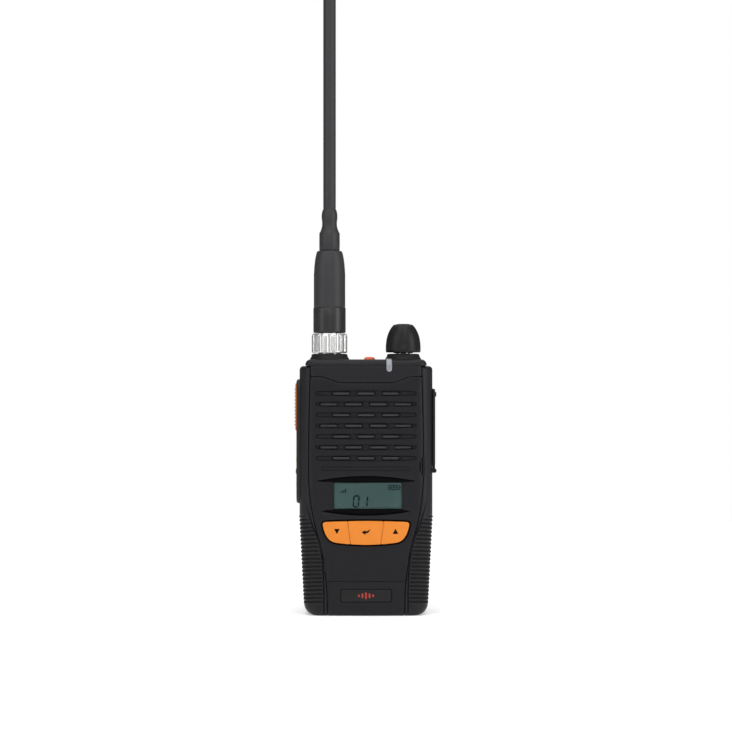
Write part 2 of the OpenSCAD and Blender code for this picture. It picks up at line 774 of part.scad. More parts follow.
module battery_case() color(soft_black) difference() {
    battery_form(0, case_y, case_back);
    intersection() {
        battery_form(case_wall, case_y - 1, case_back - case_wall);
        union() {
            block([-40, 0, 0], [40, 40, 74.6]);
            block([-40, 0, 0], [40, 13.6, battery_h]);
        }
    }
    block([-7.3, 16.4, 76.4], [7.3, 30, battery_h + 1]);
    block([-9.1, 15.2, 76.4], [9.1, 16.6, battery_h + 1]);
    for (z = clip_screw_zs) bar_y(0, z, 1, 16.2, case_back + 1);
}

module battery_lid() color(charcoal) difference() {
    battery_form(0, lid_y, case_y);
    for (x = contact_xs) bar_y(x, contact_z, 1.3, lid_y - 1, case_y + 1);
}

module battery_cells() color("steelblue")
    for (side = [-1, 1])
        front_plate(case_y + 1.6, 15.8) polygon(round_box(side * 11.6, 40, 22.4, 67, 2));

module battery_board() color(board_green) {
    block([-12, case_y + 0.2, 13], [12, case_y + 1, 27]);
    for (x = contact_xs) bar_y(x, contact_z, 1.2, lid_y, case_y + 0.3);
}

module battery_latch() color(charcoal) difference() {
    union() {
        block([-7, 15.4, latch_z], [7, 18.9, latch_top]);
        block([-8.8, 15.4, latch_z], [8.8, 16.2, latch_top]);
        block([-3, 15.4, latch_top - eps], [3, 16.4, 92.7]);
    }
    post(0, spring_y, 1.3, latch_z - 1, 86);
    for (i = [0:3]) block([-6, 18.5, 81.2 + 2 * i], [6, 20, 82.2 + 2 * i]);
}

module latch_spring() color(steel)
    translate([0, spring_y, spring_foot]) coil(0.85, 0.16, 6, 86 - spring_foot);

// ---- Belt clip ----

clip_y = case_back + belt_gap;
clip_t = 1.8;
pivot_y = 23;
pivot_z = 64;
clip_screw_zs = [56.6, 71.4];

module clip_bracket() color(steel) difference() {
    union() {
        front_plate(case_back, case_back + 2) polygon(round_box(0, 64, 16.4, 19.6, 2));
        for (x = [-8.2, 6.2]) side_plate(x, x + 2) polygon(concat(
            [[case_back + 1, 60], [case_back + 1, 68]],
            arc(pivot_y, pivot_z, 2.4, 60, -60, 6)));
    }
    bar_x(pivot_y, pivot_z, 1, -9, 9);
    for (z = clip_screw_zs) {
        bar_y(0, z, 1, case_back - 1, case_back + 3);
        bar_y(0, z, 1.9, case_back + 1, case_back + 3);
    }
}

module clip_screws() color(steel) for (z = clip_screw_zs) difference() {
    union() {
        bar_y(0, z, 1, 16.4, case_back + 1 + eps);
        bar_y(0, z, 1.8, case_back + 1, case_back + 1.9);
    }
    translate([0, case_back + 1.4, z]) rotate([-90, 0, 0]) cylinder(r = 0.9, h = 2, $fn = 6);
}

module clip_pin() color(nickel) bar_x(pivot_y, pivot_z, 1, -8.2, 8.2);

// The clip seen from the side, from its tip up to its thumb lever
clip_profile = concat(
    [[clip_y, 52], [clip_y, 18]],
    bend([clip_y, 18], [clip_y - 0.5, 13], [case_back + 0.9, 11], 5),
    bend([case_back + 0.9, 9.6], [clip_y - 1, 8.4], [clip_y + clip_t - 0.6, 8.6], 4),
    [[clip_y + clip_t, 10], [clip_y + clip_t, 74.6], [clip_y + clip_t - 0.6, 75.6], [clip_y, 75.6]]);

module belt_clip() color(charcoal) difference() {
    union() {
        intersection() {
            side_plate(-9.5, 9.5) polygon(clip_profile);
            front_plate(15, 30) polygon(concat(
                arc(-5.5, 12.4, 4, 180, 270),
                arc(5.5, 12.4, 4, 270, 360),
                [[9.5, 50], [8.2, 56]],
                arc(6.2, 73.6, 2, 0, 90),
                arc(-6.2, 73.6, 2, 90, 180),
                [[-8.2, 56], [-9.5, 50]]));
        }
        for (x = [-5.9, 2.8]) {
            bar_x(pivot_y, pivot_z, 2.1, x, x + 3.1);
            block([x, pivot_y - 0.6, pivot_z - 2.1], [x + 3.1, clip_y + 0.5, pivot_z + 2.1]);
        }
    }
    bar_x(pivot_y, pivot_z, 1.06, -7, 7);
    side_plate(-8.5, -5.9) polygon(arc(pivot_y, pivot_z, 3, 0, 345, 23));
    side_plate(5.9, 8.5) polygon(arc(pivot_y, pivot_z, 3, 0, 345, 23));
}

// A coil round the pin, with one leg on the bracket and one behind the clip
module clip_spring() color(steel) {
    translate([-2.2, pivot_y, pivot_z]) rotate([0, 90, 0]) coil(1.45, 0.22, 5, 4.4);
    bar_z_leg(-1.98, pivot_y - 1.45);
    bar_z_leg(1.98, pivot_y + 1.2);
}

// One straight leg of the clip spring, pointing down
module bar_z_leg(x, y) {
    post(x, y, 0.2, pivot_z - 7, pivot_z - 0.4);
}

// ---- Antenna ----

module coupling_nut() color(nickel) translate([-antenna_x, control_y, 0]) difference() {
    rotate_extrude() polygon([
        [5.75, 110.7], [nut_r - 0.4, 110.7], [nut_r, 111.1], [nut_r, 118], [nut_r - 0.7, 119],
        [4.3, 119], [4.3, 117.5], [5.75, 117.5]]);
    for (i = [0:nut_flutes - 1])
        rotate([0, 0, 360 * i / nut_flutes]) post(nut_r + 1, 0, 1.4, 110, 117.6);
}

module antenna_plug() color(nickel) translate([-antenna_x, control_y, 0]) rotate_extrude()
    polygon([
        [0, 112.5], [0.45, 112.5], [0.45, 116], [3.75, 116], [3.75, 112], [4.05, 112],
        [4.05, 116], [5.4, 116], [5.4, 117.3], [4.22, 117.3], [4.22, 119.2], [5, 119.2],
        [5, 124], [0, 124]]);

module lower_sleeve() color(rail_black) translate([-antenna_x, control_y, 0]) rotate_extrude()
    polygon([[5, 119.2], [6.4, 119.2], [6.87, 119.7], [6.87, 130], [5, 130]]);

module antenna_base() color(rail_black) translate([-antenna_x, control_y, 0]) rotate_extrude()
    polygon(concat(
        [[4.4, 130], [mast_r, 130], [mast_r, 144.7]],
        inner(bend([mast_r, 144.7], [mast_r, 149.5], [5.3, 154], 5)),
        [[5.3, 154], [4.4, 154]]));

module loading_coil() color([0.72, 0.45, 0.2])
    translate([-antenna_x, control_y, 126]) coil(3.2, 0.4, 9, 24, 12);

module antenna_boot() color(rail_black) translate([-antenna_x, control_y, 0]) rotate_extrude()
    polygon(concat(
        [[0, 154], [4.4, 154], [4.4, 161.7]],
        inner(bend([4.4, 161.7], [4.2, 163], [3.35, 164.4], 4)),
        [[3.2, 165.2], [3.4, 168.6]],
        inner(bend([3.4, 168.6], [3.4, 170.6], [2.8, 171.6], 4)),
        [[whip_r, 172], [0, 172]]));

module whip() color(rail_black) translate([-antenna_x, control_y, 0]) rotate_extrude()
    polygon(concat(
        [[0, 172], [whip_r, 172], [whip_r, tip_z - 6], [whip_r + 0.35, tip_z - 5.6]],
        bend([whip_r + 0.35, tip_z - 2.4], [whip_r + 0.35, tip_z], [0.6, tip_z], 5),
        [[0, tip_z]]));

front_housing();
top_cap();
left_grip();
right_grip();
rear_chassis();
housing_gasket();
housing_screws();
speaker_mesh();
speaker_frame();
speaker_cone();
speaker_magnet();
display_window();
lcd_panel();
key_mat();
keypad_board();
down_key();
enter_key();
up_key();
badge_plate();
main_board();
rf_shield();
microphone();
antenna_socket();
panel_nuts();
antenna_collar();
knob_collar();
volume_control();
volume_shaft();
volume_knob();
alarm_button();
alarm_switch();
led_lens();
side_bezel();
ptt_button();
upper_side_key();
lower_side_key();
side_switches();
jack_cover();
jack_plate();
large_jack();
small_jack();
radio_contacts();
battery_case();
battery_lid();
battery_cells();
battery_board();
battery_latch();
latch_spring();
clip_bracket();
clip_screws();
belt_clip();
clip_pin();
clip_spring();
coupling_nut();
antenna_plug();
lower_sleeve();
antenna_base();
loading_coil();
antenna_boot();
whip();
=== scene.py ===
"""Looks of a handheld two-way radio: its mouldings, keys, display, antenna, battery and finishes.

Lengths are millimetres until a mesh is made. X runs to the right, the front faces -Y and Z is up.
"""
import json
import logging
import math
from collections.abc import Callable, Sequence
from dataclasses import dataclass, field
from enum import Enum
from itertools import pairwise
from typing import Protocol

import bmesh
import bpy
import numpy
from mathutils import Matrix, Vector
from mathutils.geometry import area_tri, delaunay_2d_cdt
from mathutils.kdtree import KDTree

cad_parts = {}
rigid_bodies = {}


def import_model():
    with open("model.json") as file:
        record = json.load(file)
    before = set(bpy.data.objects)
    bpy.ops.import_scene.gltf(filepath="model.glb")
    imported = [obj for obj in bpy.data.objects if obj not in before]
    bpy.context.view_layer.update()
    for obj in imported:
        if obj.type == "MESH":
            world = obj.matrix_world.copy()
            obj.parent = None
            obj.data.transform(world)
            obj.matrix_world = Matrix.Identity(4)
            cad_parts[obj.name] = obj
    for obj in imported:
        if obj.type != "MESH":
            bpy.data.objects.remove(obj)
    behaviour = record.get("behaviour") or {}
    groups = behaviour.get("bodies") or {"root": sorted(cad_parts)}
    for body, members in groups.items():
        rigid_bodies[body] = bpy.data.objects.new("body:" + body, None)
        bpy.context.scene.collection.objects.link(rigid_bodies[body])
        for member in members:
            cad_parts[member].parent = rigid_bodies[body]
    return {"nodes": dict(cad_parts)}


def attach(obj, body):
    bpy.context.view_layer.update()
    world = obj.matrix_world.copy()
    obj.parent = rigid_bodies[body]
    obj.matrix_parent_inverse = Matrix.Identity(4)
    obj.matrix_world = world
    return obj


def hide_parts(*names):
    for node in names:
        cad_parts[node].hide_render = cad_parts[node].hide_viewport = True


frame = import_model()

MM = 0.001
# The angle from which an edge is shaded as a sharp one.
SHARP_ANGLE = math.radians(38)
# Corners closer than this, in millimetres, become one.
MERGED = 0.004
# A triangle with less area than this share of its longest side's square is left out.
SLIVER = 0.001
# The gap that each front moulding leaves on its own side of a seam.
SEAM_GAP = 0.11
# The upright axes of what stands on the top.
KNOB_AXIS = (15.8, -6.0)
ANTENNA_AXIS = (-15.5, -6.0)
ALARM_AXIS = (1.5, -6.0)
# The Y that the side keys and the jack cover are centred on.
SIDE_Y = -7.0
LOG = logging.getLogger("radio")

Point = tuple[float, float]
Piece = bpy.types.Object
Socket = bpy.types.NodeSocket
Outline = Callable[[float], list[Point]]
Relief = Callable[[float, float], float]


# ---- Outlines ----


def arc(cx: float, cy: float, radius: float, start: float, stop: float, steps: int = 6) -> list[Point]:
    """Points along an arc, with both of its ends.

    Args:
        cx, cy: The centre.
        radius: The radius.
        start, stop: The first and last angles, in degrees.
        steps: How many equal steps the arc has.

    Returns:
        steps + 1 points.
    """
    angles = [math.radians(start + (stop - start) * i / steps) for i in range(steps + 1)]
    return [(cx + radius * math.cos(a), cy + radius * math.sin(a)) for a in angles]


def bend(a: Point, b: Point, c: Point, steps: int = 8) -> list[Point]:
    """Points along a curve from a to c that is pulled towards b.

    Args:
        a, b, c: The first point, the pull and the last point.
        steps: How many steps the curve has.

    Returns:
        steps + 1 points.
    """
    points = []
    for i in range(steps + 1):
        t = i / steps
        shares = ((1 - t) ** 2, 2 * t * (1 - t), t * t)
        points.append(tuple(sum(s * p[k] for s, p in zip(shares, (a, b, c))) for k in (0, 1)))
    return points


def curve(start: Point, *turns: tuple[Point, Point, int]) -> list[Point]:
    """Points along a chain of curves.

    Args:
        start: The first point.
        turns: For each curve the point that pulls it, its last point and how many steps it has.

    Returns:
        The points, each of them once.
    """
    points = [start]
    for pull, stop, steps in turns:
        points += bend(points[-1], pull, stop, steps)[1:]
    return points


def mirrored(points: Sequence[Point]) -> list[Point]:
    """The same points on the other side of the centre line, in the opposite order."""
    return [(-x, y) for x, y in reversed(points)]


def smooth(value: float, low: float = 0.0, high: float = 1.0) -> float:
    """A soft step from 0 at low to 1 at high.

    Args:
        value: Where the step is read.
        low, high: Where it starts and ends.

    Returns:
        A number from 0 to 1.
    """
    t = min(max((value - low) / (high - low), 0.0), 1.0)
    return t * t * (3 - 2 * t)


def round_box(cx: float, cy: float, width: float, height: float, radius: float, steps: int = 4) -> Outline:
    """An upright rectangle with round corners, as an outline that can be drawn in.

    Args:
        cx, cy: Its middle.
        width, height: Its full size.
        radius: The radius of its corners.
        steps: How many steps each corner has.

    Returns:
        The outline.
    """
    def drawn(inset: float) -> list[Point]:
        """The rectangle, smaller by the inset on every side.

        Args:
            inset: How far it is drawn in.

        Returns:
            The corners, anticlockwise.
        """
        r = max(radius - inset, 0.03)
        dx = width / 2 - inset - r
        dy = height / 2 - inset - r
        corners = ((dx, -dy, -90), (dx, dy, 0), (-dx, dy, 90), (-dx, -dy, 180))
        return [p for x, y, a in corners for p in arc(cx + x, cy + y, r, a, a + 90, steps)]
    return drawn


def disc(cx: float, cy: float, radius: float, corners: int = 24) -> Outline:
    """A round outline that can be drawn in.

    Args:
        cx, cy: Its middle.
        radius: Its radius.
        corners: How many corners stand for the circle.

    Returns:
        The outline.
    """
    return shape(arc(cx, cy, radius, 0, 360 - 360 / corners, corners - 1))


def shape(points: Sequence[Point]) -> Outline:
    """An outline of any shape, drawn in by moving each corner along its mitre.

    Args:
        points: The corners, anticlockwise.

    Returns:
        The outline.
    """
    def drawn(inset: float) -> list[Point]:
        """The corners, moved inwards by the inset.

        Args:
            inset: How far it is drawn in.

        Returns:
            The corners, anticlockwise.
        """
        moved = []
        for i, (x, y) in enumerate(points):
            before, after = points[i - 1], points[(i + 1) % len(points)]
            sides = []
            for p, q in ((before, (x, y)), ((x, y), after)):
                length = math.dist(p, q) or 1.0
                sides.append(((p[1] - q[1]) / length, (q[0] - p[0]) / length))
            (ax, ay), (bx, by) = sides
            share = inset / max(1 + ax * bx + ay * by, 0.4)
            moved.append((x + (ax + bx) * share, y + (ay + by) * share))
        return moved
    return drawn


def clipped(points: Sequence[Point], a: Point, b: Point) -> list[Point]:
    """The part of a closed outline on the left of the line from a to b.

    Args:
        points: The corners of the outline.
        a, b: Two points on the line.

    Returns:
        The corners that are left.
    """
    def side(p: Point) -> float:
        """Above 0 on the left of the line."""
        return (b[0] - a[0]) * (p[1] - a[1]) - (b[1] - a[1]) * (p[0] - a[0])

    kept = []
    for p, q in zip(points, [*points[1:], points[0]]):
        here, there = side(p), side(q)
        if here >= 0:
            kept.append(p)
        if (here >= 0) != (there >= 0):
            t = here / (here - there)
            kept.append((p[0] + (q[0] - p[0]) * t, p[1] + (q[1] - p[1]) * t))
    return kept


def eased(points: Sequence[Point], radius: float) -> list[Point]:
    """A closed outline with its sharp corners rounded.

    Args:
        points: The corners.
        radius: How far from each sharp corner its curve starts.

    Returns:
        The new corners.
    """
    made = []
    for i, p in enumerate(points):
        before, after = Vector(points[i - 1]), Vector(points[(i + 1) % len(points)])
        here = Vector(p)
        back, ahead = before - here, after - here
        if back.length < 1e-4 or ahead.length < 1e-4:
            continue
        if (math.pi - back.angle(ahead)) < math.radians(25):
            made.append(p)
            continue
        start = here + back.normalized() * min(radius, back.length * 0.45)
        stop = here + ahead.normalized() * min(radius, ahead.length * 0.45)
        made += bend(tuple(start), p, tuple(stop), 4)
    return made


# ---- Surfaces that outlines are laid on ----


class Surface(Protocol):
    """Anything that a flat outline can be laid on."""

    def place(self, a: float, b: float, depth: float) -> Vector:
        """The point at a, b on the surface, sunk by the depth."""


@dataclass(frozen=True)
class Plane:
    """A flat surface, with an outline's two axes and the way it faces."""

    origin: Vector
    across: Vector
    up: Vector

    def place(self, a: float, b: float, depth: float) -> Vector:
        """The point at a, b on the plane, sunk by the depth."""
        return self.origin + self.across * a + self.up * b - self.across.cross(self.up) * depth


def facing_left(x: float) -> Plane:
    """The plane at x that faces -X, with Y and Z as the outline's axes: Y is drawn from right to left."""
    return Plane(Vector((x, 0, 0)), Vector((0, -1, 0)), Vector((0, 0, 1)))


def facing_right(x: float) -> Plane:
    """The plane at x that faces +X, with Y and Z as the outline's axes."""
    return Plane(Vector((x, 0, 0)), Vector((0, 1, 0)), Vector((0, 0, 1)))


def facing_back(y: float) -> Plane:
    """The plane at y that faces +Y, with -X and Z as the outline's axes."""
    return Plane(Vector((0, y, 0)), Vector((-1, 0, 0)), Vector((0, 0, 1)))


def facing_up(z: float) -> Plane:
    """The plane at z that faces +Z, with X and Y as the outline's axes."""
    return Plane(Vector((0, 0, z)), Vector((1, 0, 0)), Vector((0, 1, 0)))


@dataclass(frozen=True)
class Roll:
    """A rounded end of the body: where it ends in Z, and the radius of the turn towards the back."""

    end: float
    radius: float

    def turned(self, beyond: float) -> tuple[float, float, float]:
        """How a skin goes round the end.

        Args:
            beyond: How far along the skin the point lies past the start of the turn.

        Returns:
            How far the point is along Z past the start, how far back it is, and the angle of the skin.
        """
        angle = min(beyond / self.radius, math.pi / 2)
        flat = beyond - self.radius * angle
        return self.radius * math.sin(angle), self.radius * (1 - math.cos(angle)) + flat, angle


@dataclass(frozen=True)
class BodyForm:
    """The curved front and sides of the body, which every front moulding follows."""

    half_width: float = 28.1
    foot_half_width: float = 26.2
    foot_z: float = 5.0
    taper_z: float = 42.0
    front: float = -18.0
    crown_radius: float = 222.0
    corner_radius: float = 7.0
    parting: float = -1.4
    top: Roll = Roll(108.0, 2.3)
    front_roll: float = 3.2
    side_roll: float = 5.0

    def width_at(self, z: float) -> float:
        """Half the body's width at a height."""
        share = min(max((z - self.foot_z) / (self.taper_z - self.foot_z), 0.0), 1.0)
        return self.foot_half_width + (self.half_width - self.foot_half_width) * share

    def corner(self, z: float) -> tuple[float, float]:
        """The round front corner at a height.

        Args:
            z: The height.

        Returns:
            The angle at which the crown ends, and the Y of the corner's centre.
        """
        spread = self.crown_radius - self.corner_radius
        angle = math.asin((self.width_at(z) - self.corner_radius) / spread)
        return angle, self.front + self.crown_radius - spread * math.cos(angle)

    def reach(self, x: float, z: float) -> float:
        """The distance along the skin from the centre line to the point that shows at x.

        Args:
            x: A place in front of the body, to the right of the centre line.
            z: The height.

        Returns:
            The distance.
        """
        angle, _ = self.corner(z)
        if x <= self.crown_radius * math.sin(angle):
            return self.crown_radius * math.asin(x / self.crown_radius)
        turn = math.asin((x - self.width_at(z) + self.corner_radius) / self.corner_radius)
        return self.crown_radius * angle + self.corner_radius * (turn - angle)

    def full_reach(self, z: float) -> float:
        """The distance along the skin from the centre line to the parting line at the side.

        Args:
            z: The height.

        Returns:
            The distance.
        """
        angle, centre = self.corner(z)
        turn = self.corner_radius * (math.pi / 2 - angle)
        return self.crown_radius * angle + turn + self.parting - centre

    def section(self, reach: float, z: float) -> tuple[Vector, Vector]:
        """A point of the body's level section.

        Args:
            reach: Its distance along the skin from the centre line.
            z: The height.

        Returns:
            The point and the way the skin faces there, both level.
        """
        angle, centre = self.corner(z)
        side = math.copysign(1.0, reach)
        past = abs(reach) - self.crown_radius * angle
        if past <= 0:
            turn = abs(reach) / self.crown_radius
            point = Vector((self.crown_radius * math.sin(turn), 0, 0))
            point.y = self.front + self.crown_radius * (1 - math.cos(turn))
        else:
            turn = min(angle + past / self.corner_radius, math.pi / 2)
            straight = max(past - self.corner_radius * (math.pi / 2 - angle), 0.0)
            point = Vector((self.width_at(z) - self.corner_radius * (1 - math.sin(turn)), 0, 0))
            point.y = centre - self.corner_radius * math.cos(turn) + straight
        point.x *= side
        return point, Vector((side * math.sin(turn), -math.cos(turn), 0))

    def foot(self, facing: Vector) -> Roll:
        """The turn into the base, which is wider at the sides than at the front."""
        return Roll(0.0, self.front_roll + (self.side_roll - self.front_roll) * facing.x**2)

    def at(self, reach: float, v: float, depth: float, top: Roll | None = None) -> Vector:
        """A point of the skin, which turns under the base and over the top.

        Args:
            reach: The distance along the skin from the centre line.
            v: The height, measured along the skin past each turn.
            depth: How far below the skin the point lies.
            top: The turn at the top, where it isn't the body's own.

        Returns:
            The point.
        """
        top = top or self.top
        _, facing = self.section(reach, v)
        foot = self.foot(facing)
        z, back, tilt = v, 0.0, 0.0
        if v < foot.radius:
            along, back, tilt = foot.turned(foot.radius - v)
            z, tilt = foot.radius - along, -tilt
        elif v > top.end - top.radius:
            along, back, tilt = top.turned(v - top.end + top.radius)
            z = top.end - top.radius + along
        point, facing = self.section(reach, z)
        out = facing * math.cos(tilt) + Vector((0, 0, math.sin(tilt)))
        placed = point - facing * back + Vector((0, 0, z)) - out * depth
        placed.y = min(placed.y, self.parting)
        return placed

    def place(self, a: float, b: float, depth: float) -> Vector:
        """The point that shows at a, b from the front, sunk by the depth."""
        reach = math.copysign(self.reach(abs(a), max(b, 0.0)), a)
        return self.at(reach, b, depth)


BODY = BodyForm()


# ---- Skins ----


@dataclass(frozen=True)
class Patch:
    """A stretch of skin inside one outline: rings that lead inwards, then a floor or a way through.

    The rings are pairs of an inset and a depth, from the outside in.
    """

    outline: Outline
    rings: tuple[Point, ...]
    children: tuple["Patch", ...] = ()
    through: bool = False
    finish: int = 0


def bore(x: float, y: float, radius: float, soft: float, deep: float, corners: int = 24,
         through: bool = False) -> Patch:
    """A round hole with a soft rim.

    Args:
        x, y: Its middle.
        radius: Its radius.
        soft: The size of the rim's bevel.
        deep: How deep it goes.
        corners: How many corners go round.
        through: Whether it goes right through.

    Returns:
        The patch.
    """
    rings = ((0.0, 0.0), (soft, soft), (soft, deep))
    return Patch(disc(x, y, radius, corners), rings, through=through)


def level(a: float, b: float) -> float:
    """The relief of a skin that has none."""
    return 0.0


@dataclass
class Shell:
    """A skin in the making: corners in millimetres, and faces with the number of their finish."""

    corners: list[Vector] = field(default_factory=list)
    flat: list[Point] = field(default_factory=list)
    faces: list[tuple[int, ...]] = field(default_factory=list)
    finishes: list[int] = field(default_factory=list)

    def corner(self, place: Vector, flat: Point = (0.0, 0.0)) -> int:
        """Adds a corner.

        Args:
            place: Where it is.
            flat: Where it lies on its outline's sheet.

        Returns:
            Its number.
        """
        self.corners.append(place)
        self.flat.append(flat)
        return len(self.corners) - 1

    def face(self, corners: Sequence[int], finish: int = 0) -> None:
        """Adds one face."""
        self.faces.append(tuple(corners))
        self.finishes.append(finish)

    def band(self, outer: Sequence[int], inner: Sequence[int], finish: int = 0, closed: bool = True) -> None:
        """Joins two rings of corners with a band of faces.

        Args:
            outer, inner: The rings, anticlockwise as seen from outside the skin.
            finish: The number of the faces' finish.
            closed: Whether the last corners join the first.
        """
        count = len(outer)
        for i in range(count if closed else count - 1):
            j = (i + 1) % count
            self.face((outer[i], outer[j], inner[j], inner[i]), finish)

    def fill(self, rim: Sequence[int], holes: Sequence[Sequence[int]], surface: Surface | None,
             depth: float, relief: Relief, step: float | None, finish: int, flip: bool = False) -> None:
        """Fills the area between a rim and the holes in it with triangles.

        Args:
            rim: The corners of the rim.
            holes: The corners of each hole.
            surface: What the area lies on, which places its inner corners.
            depth: How deep it lies.
            relief: What is added to the depth.
            step: How far apart its inner corners are, or None for a flat area that needs none.
            finish: The number of the faces' finish.
            flip: Whether it faces the other way.
        """
        loops = [list(rim), *map(list, holes)]
        known = [i for loop in loops for i in loop]
        points = [self.flat[i] for i in known]
        edges, first = [], 0
        for loop in loops:
            edges += [(first + i, first + (i + 1) % len(loop)) for i in range(len(loop))]
            first += len(loop)
        ends = numpy.array([[points[a], points[b]] for a, b in edges])
        if step:
            for p in inner_points(points, ends, step):
                known.append(self.corner(surface.place(*p, depth + relief(*p)), p))
                points.append(p)
        flat = [Vector(p) for p in points]
        corners, _, triangles, origins, _, _ = delaunay_2d_cdt(flat, edges, [], 0, 1e-7, True)
        middles = numpy.array([sum((corners[i] for i in t), Vector((0, 0))) / 3 for t in triangles])
        for keep, triangle in zip(inside(middles, ends), triangles):
            if not keep or any(not origins[i] for i in triangle):
                continue
            a, b, c = (corners[i] for i in triangle)
            longest = max((a - b).length, (b - c).length, (c - a).length)
            if area_tri(a, b, c) < SLIVER * longest**2:
                continue
            face = [known[origins[i][0]] for i in triangle]
            self.face(reversed(face) if flip else face, finish)

    def lay(self, patch: Patch, surface: Surface, relief: Relief = level, step: float | None = None,
            exits: list[list[int]] | None = None) -> list[int]:
        """Builds a patch and everything in it.

        Args:
            patch: The patch.
            surface: What it lies on.
            relief: What is added to every depth but that of the ways through.
            step: How far apart the corners are, or None on a flat surface.
            exits: Gets the last ring of each way through.

        Returns:
            The patch's first ring.
        """
        exits = exits if exits is not None else []
        base = patch.outline(0.0)
        counts = [
            max(1, round(math.dist(p, q) / step)) if step else 1 for p, q in zip(base, [*base[1:], base[0]])
        ]
        rings = []
        for number, (inset, depth) in enumerate(patch.rings):
            last = patch.through and number == len(patch.rings) - 1
            ring = []
            for p in divided(patch.outline(inset), counts):
                sunk = depth if last else depth + relief(*p)
                ring.append(self.corner(surface.place(*p, sunk), p))
            rings.append(ring)
        for outer, inner in pairwise(rings):
            self.band(outer, inner, patch.finish)
        if patch.through:
            exits.append(rings[-1])
        else:
            holes = [self.lay(child, surface, relief, step, exits) for child in patch.children]
            self.fill(rings[-1], holes, surface, patch.rings[-1][1], relief, step, patch.finish)
        return rings[0]

    def slab(self, patch: Patch, surface: Surface, relief: Relief = level,
             step: float | None = None) -> "Shell":
        """Builds a closed plate: a patch whose first ring is the edge of its back.

        Args:
            patch: The plate's front.
            surface: What it lies on.
            relief: What is added to the depths of its front.
            step: How far apart the corners are, or None on a flat surface.

        Returns:
            The same skin, so that plates can be added one after another.
        """
        exits: list[list[int]] = []
        rim = self.lay(patch, surface, relief, step, exits)
        self.fill(rim, exits, surface, patch.rings[0][1], level, step, patch.finish, flip=True)
        return self

    def turn(self, profile: Sequence[Point], axis: Point, count: int = 64,
             wave: Callable[[float, float, float], float] | None = None) -> "Shell":
        """Turns a profile of radius and height about an upright axis.

        Args:
            profile: The radii and heights, which go up the outside.
            axis: The X and Y of the axis.
            count: How many corners go round.
            wave: Takes a radius, a height and an angle, and gives the radius there.

        Returns:
            The same skin.
        """
        rings = []
        for radius, z in profile:
            if radius < 1e-6:
                rings.append([self.corner(Vector((*axis, z)))])
                continue
            ring = []
            for i in range(count):
                angle = math.tau * i / count
                r = wave(radius, z, angle) if wave else radius
                x, y = axis[0] + r * math.cos(angle), axis[1] + r * math.sin(angle)
                ring.append(self.corner(Vector((x, y, z))))
            rings.append(ring)
        if profile[0] == profile[-1]:
            rings[-1] = rings[0]
        for low, high in pairwise(rings):
            for i in range(count):
                j = (i + 1) % count
                face = [low[i % len(low)], low[j % len(low)], high[j % len(high)], high[i % len(high)]]
                self.face(dict.fromkeys(face))
        return self

    def piece(self, name: str, *finishes: "Finish", closed: bool = True) -> Piece:
        """Makes the skin a Blender object in metres.

        Args:
            name: The object's name.
            finishes: Its finishes, in the order of their numbers.
            closed: Whether the skin has to have no gaps.

        Returns:
            The object.
        """
        mesh = bpy.data.meshes.new(name)
        mesh.from_pydata([c * MM for c in self.corners], [], [tuple(f) for f in self.faces])
        for finish in finishes:
            mesh.materials.append(finish.material())
        mesh.polygons.foreach_set("material_index", self.finishes)
        mesh.validate()
        if closed:
            seal(mesh)
        return shown(name, tidied(mesh))


def seal(mesh: bpy.types.Mesh) -> None:
    """Merges the corners of a skin that meet, and closes the gaps that are left in it.

    Args:
        mesh: The skin's mesh.
    """
    form = bmesh.new()
    form.from_mesh(mesh)
    bmesh.ops.remove_doubles(form, verts=form.verts, dist=MERGED * MM)
    bmesh.ops.dissolve_degenerate(form, edges=form.edges, dist=MERGED * MM)
    bmesh.ops.holes_fill(form, edges=[e for e in form.edges if e.is_boundary], sides=0)
    loose = [v for v in form.verts if not v.link_faces]
    bmesh.ops.delete(form, geom=loose, context="VERTS")
    form.to_mesh(mesh)
    form.free()


def shown(name: str, mesh: bpy.types.Mesh) -> Piece:
    """Puts a mesh in the scene.

    Args:
        name: The object's name.
        mesh: Its mesh.

    Returns:
        The object.
    """
    made = bpy.data.objects.new(name, mesh)
    bpy.context.scene.collection.objects.link(made)
    return made


def tidied(mesh: bpy.types.Mesh) -> bpy.types.Mesh:
    """Shades a mesh smoothly, apart from its sharp edges.

    Args:
        mesh: The mesh.

    Returns:
        The same mesh.
    """
    mesh.polygons.foreach_set("use_smooth", [True] * len(mesh.polygons))
    mesh.set_sharp_from_angle(angle=SHARP_ANGLE)
    mesh.update()
    return mesh


def divided(loop: Sequence[Point], counts: Sequence[int]) -> list[Point]:
    """A loop with each side cut into its number of equal pieces.

    Args:
        loop: The corners.
        counts: The number for each side.

    Returns:
        The new corners.
    """
    made = []
    for (ax, ay), (bx, by), count in zip(loop, [*loop[1:], loop[0]], counts):
        made += [(ax + (bx - ax) * i / count, ay + (by - ay) * i / count) for i in range(count)]
    return made


def inside(points: numpy.ndarray, ends: numpy.ndarray) -> numpy.ndarray:
    """Which points lie inside closed loops, where a loop in a loop is a hole.

    Args:
        points: The points, one a row.
        ends: Both ends of every side of the loops.

    Returns:
        True for each point inside.
    """
    (ax, ay), (bx, by) = ends[:, 0].T, ends[:, 1].T
    rise = numpy.where(ay == by, 1.0, by - ay)
    within = numpy.zeros(len(points), bool)
    for i, (x, y) in enumerate(points):
        spans = (ay > y) != (by > y)
        within[i] = numpy.count_nonzero(spans & (x < ax + (bx - ax) * (y - ay) / rise)) % 2
    return within


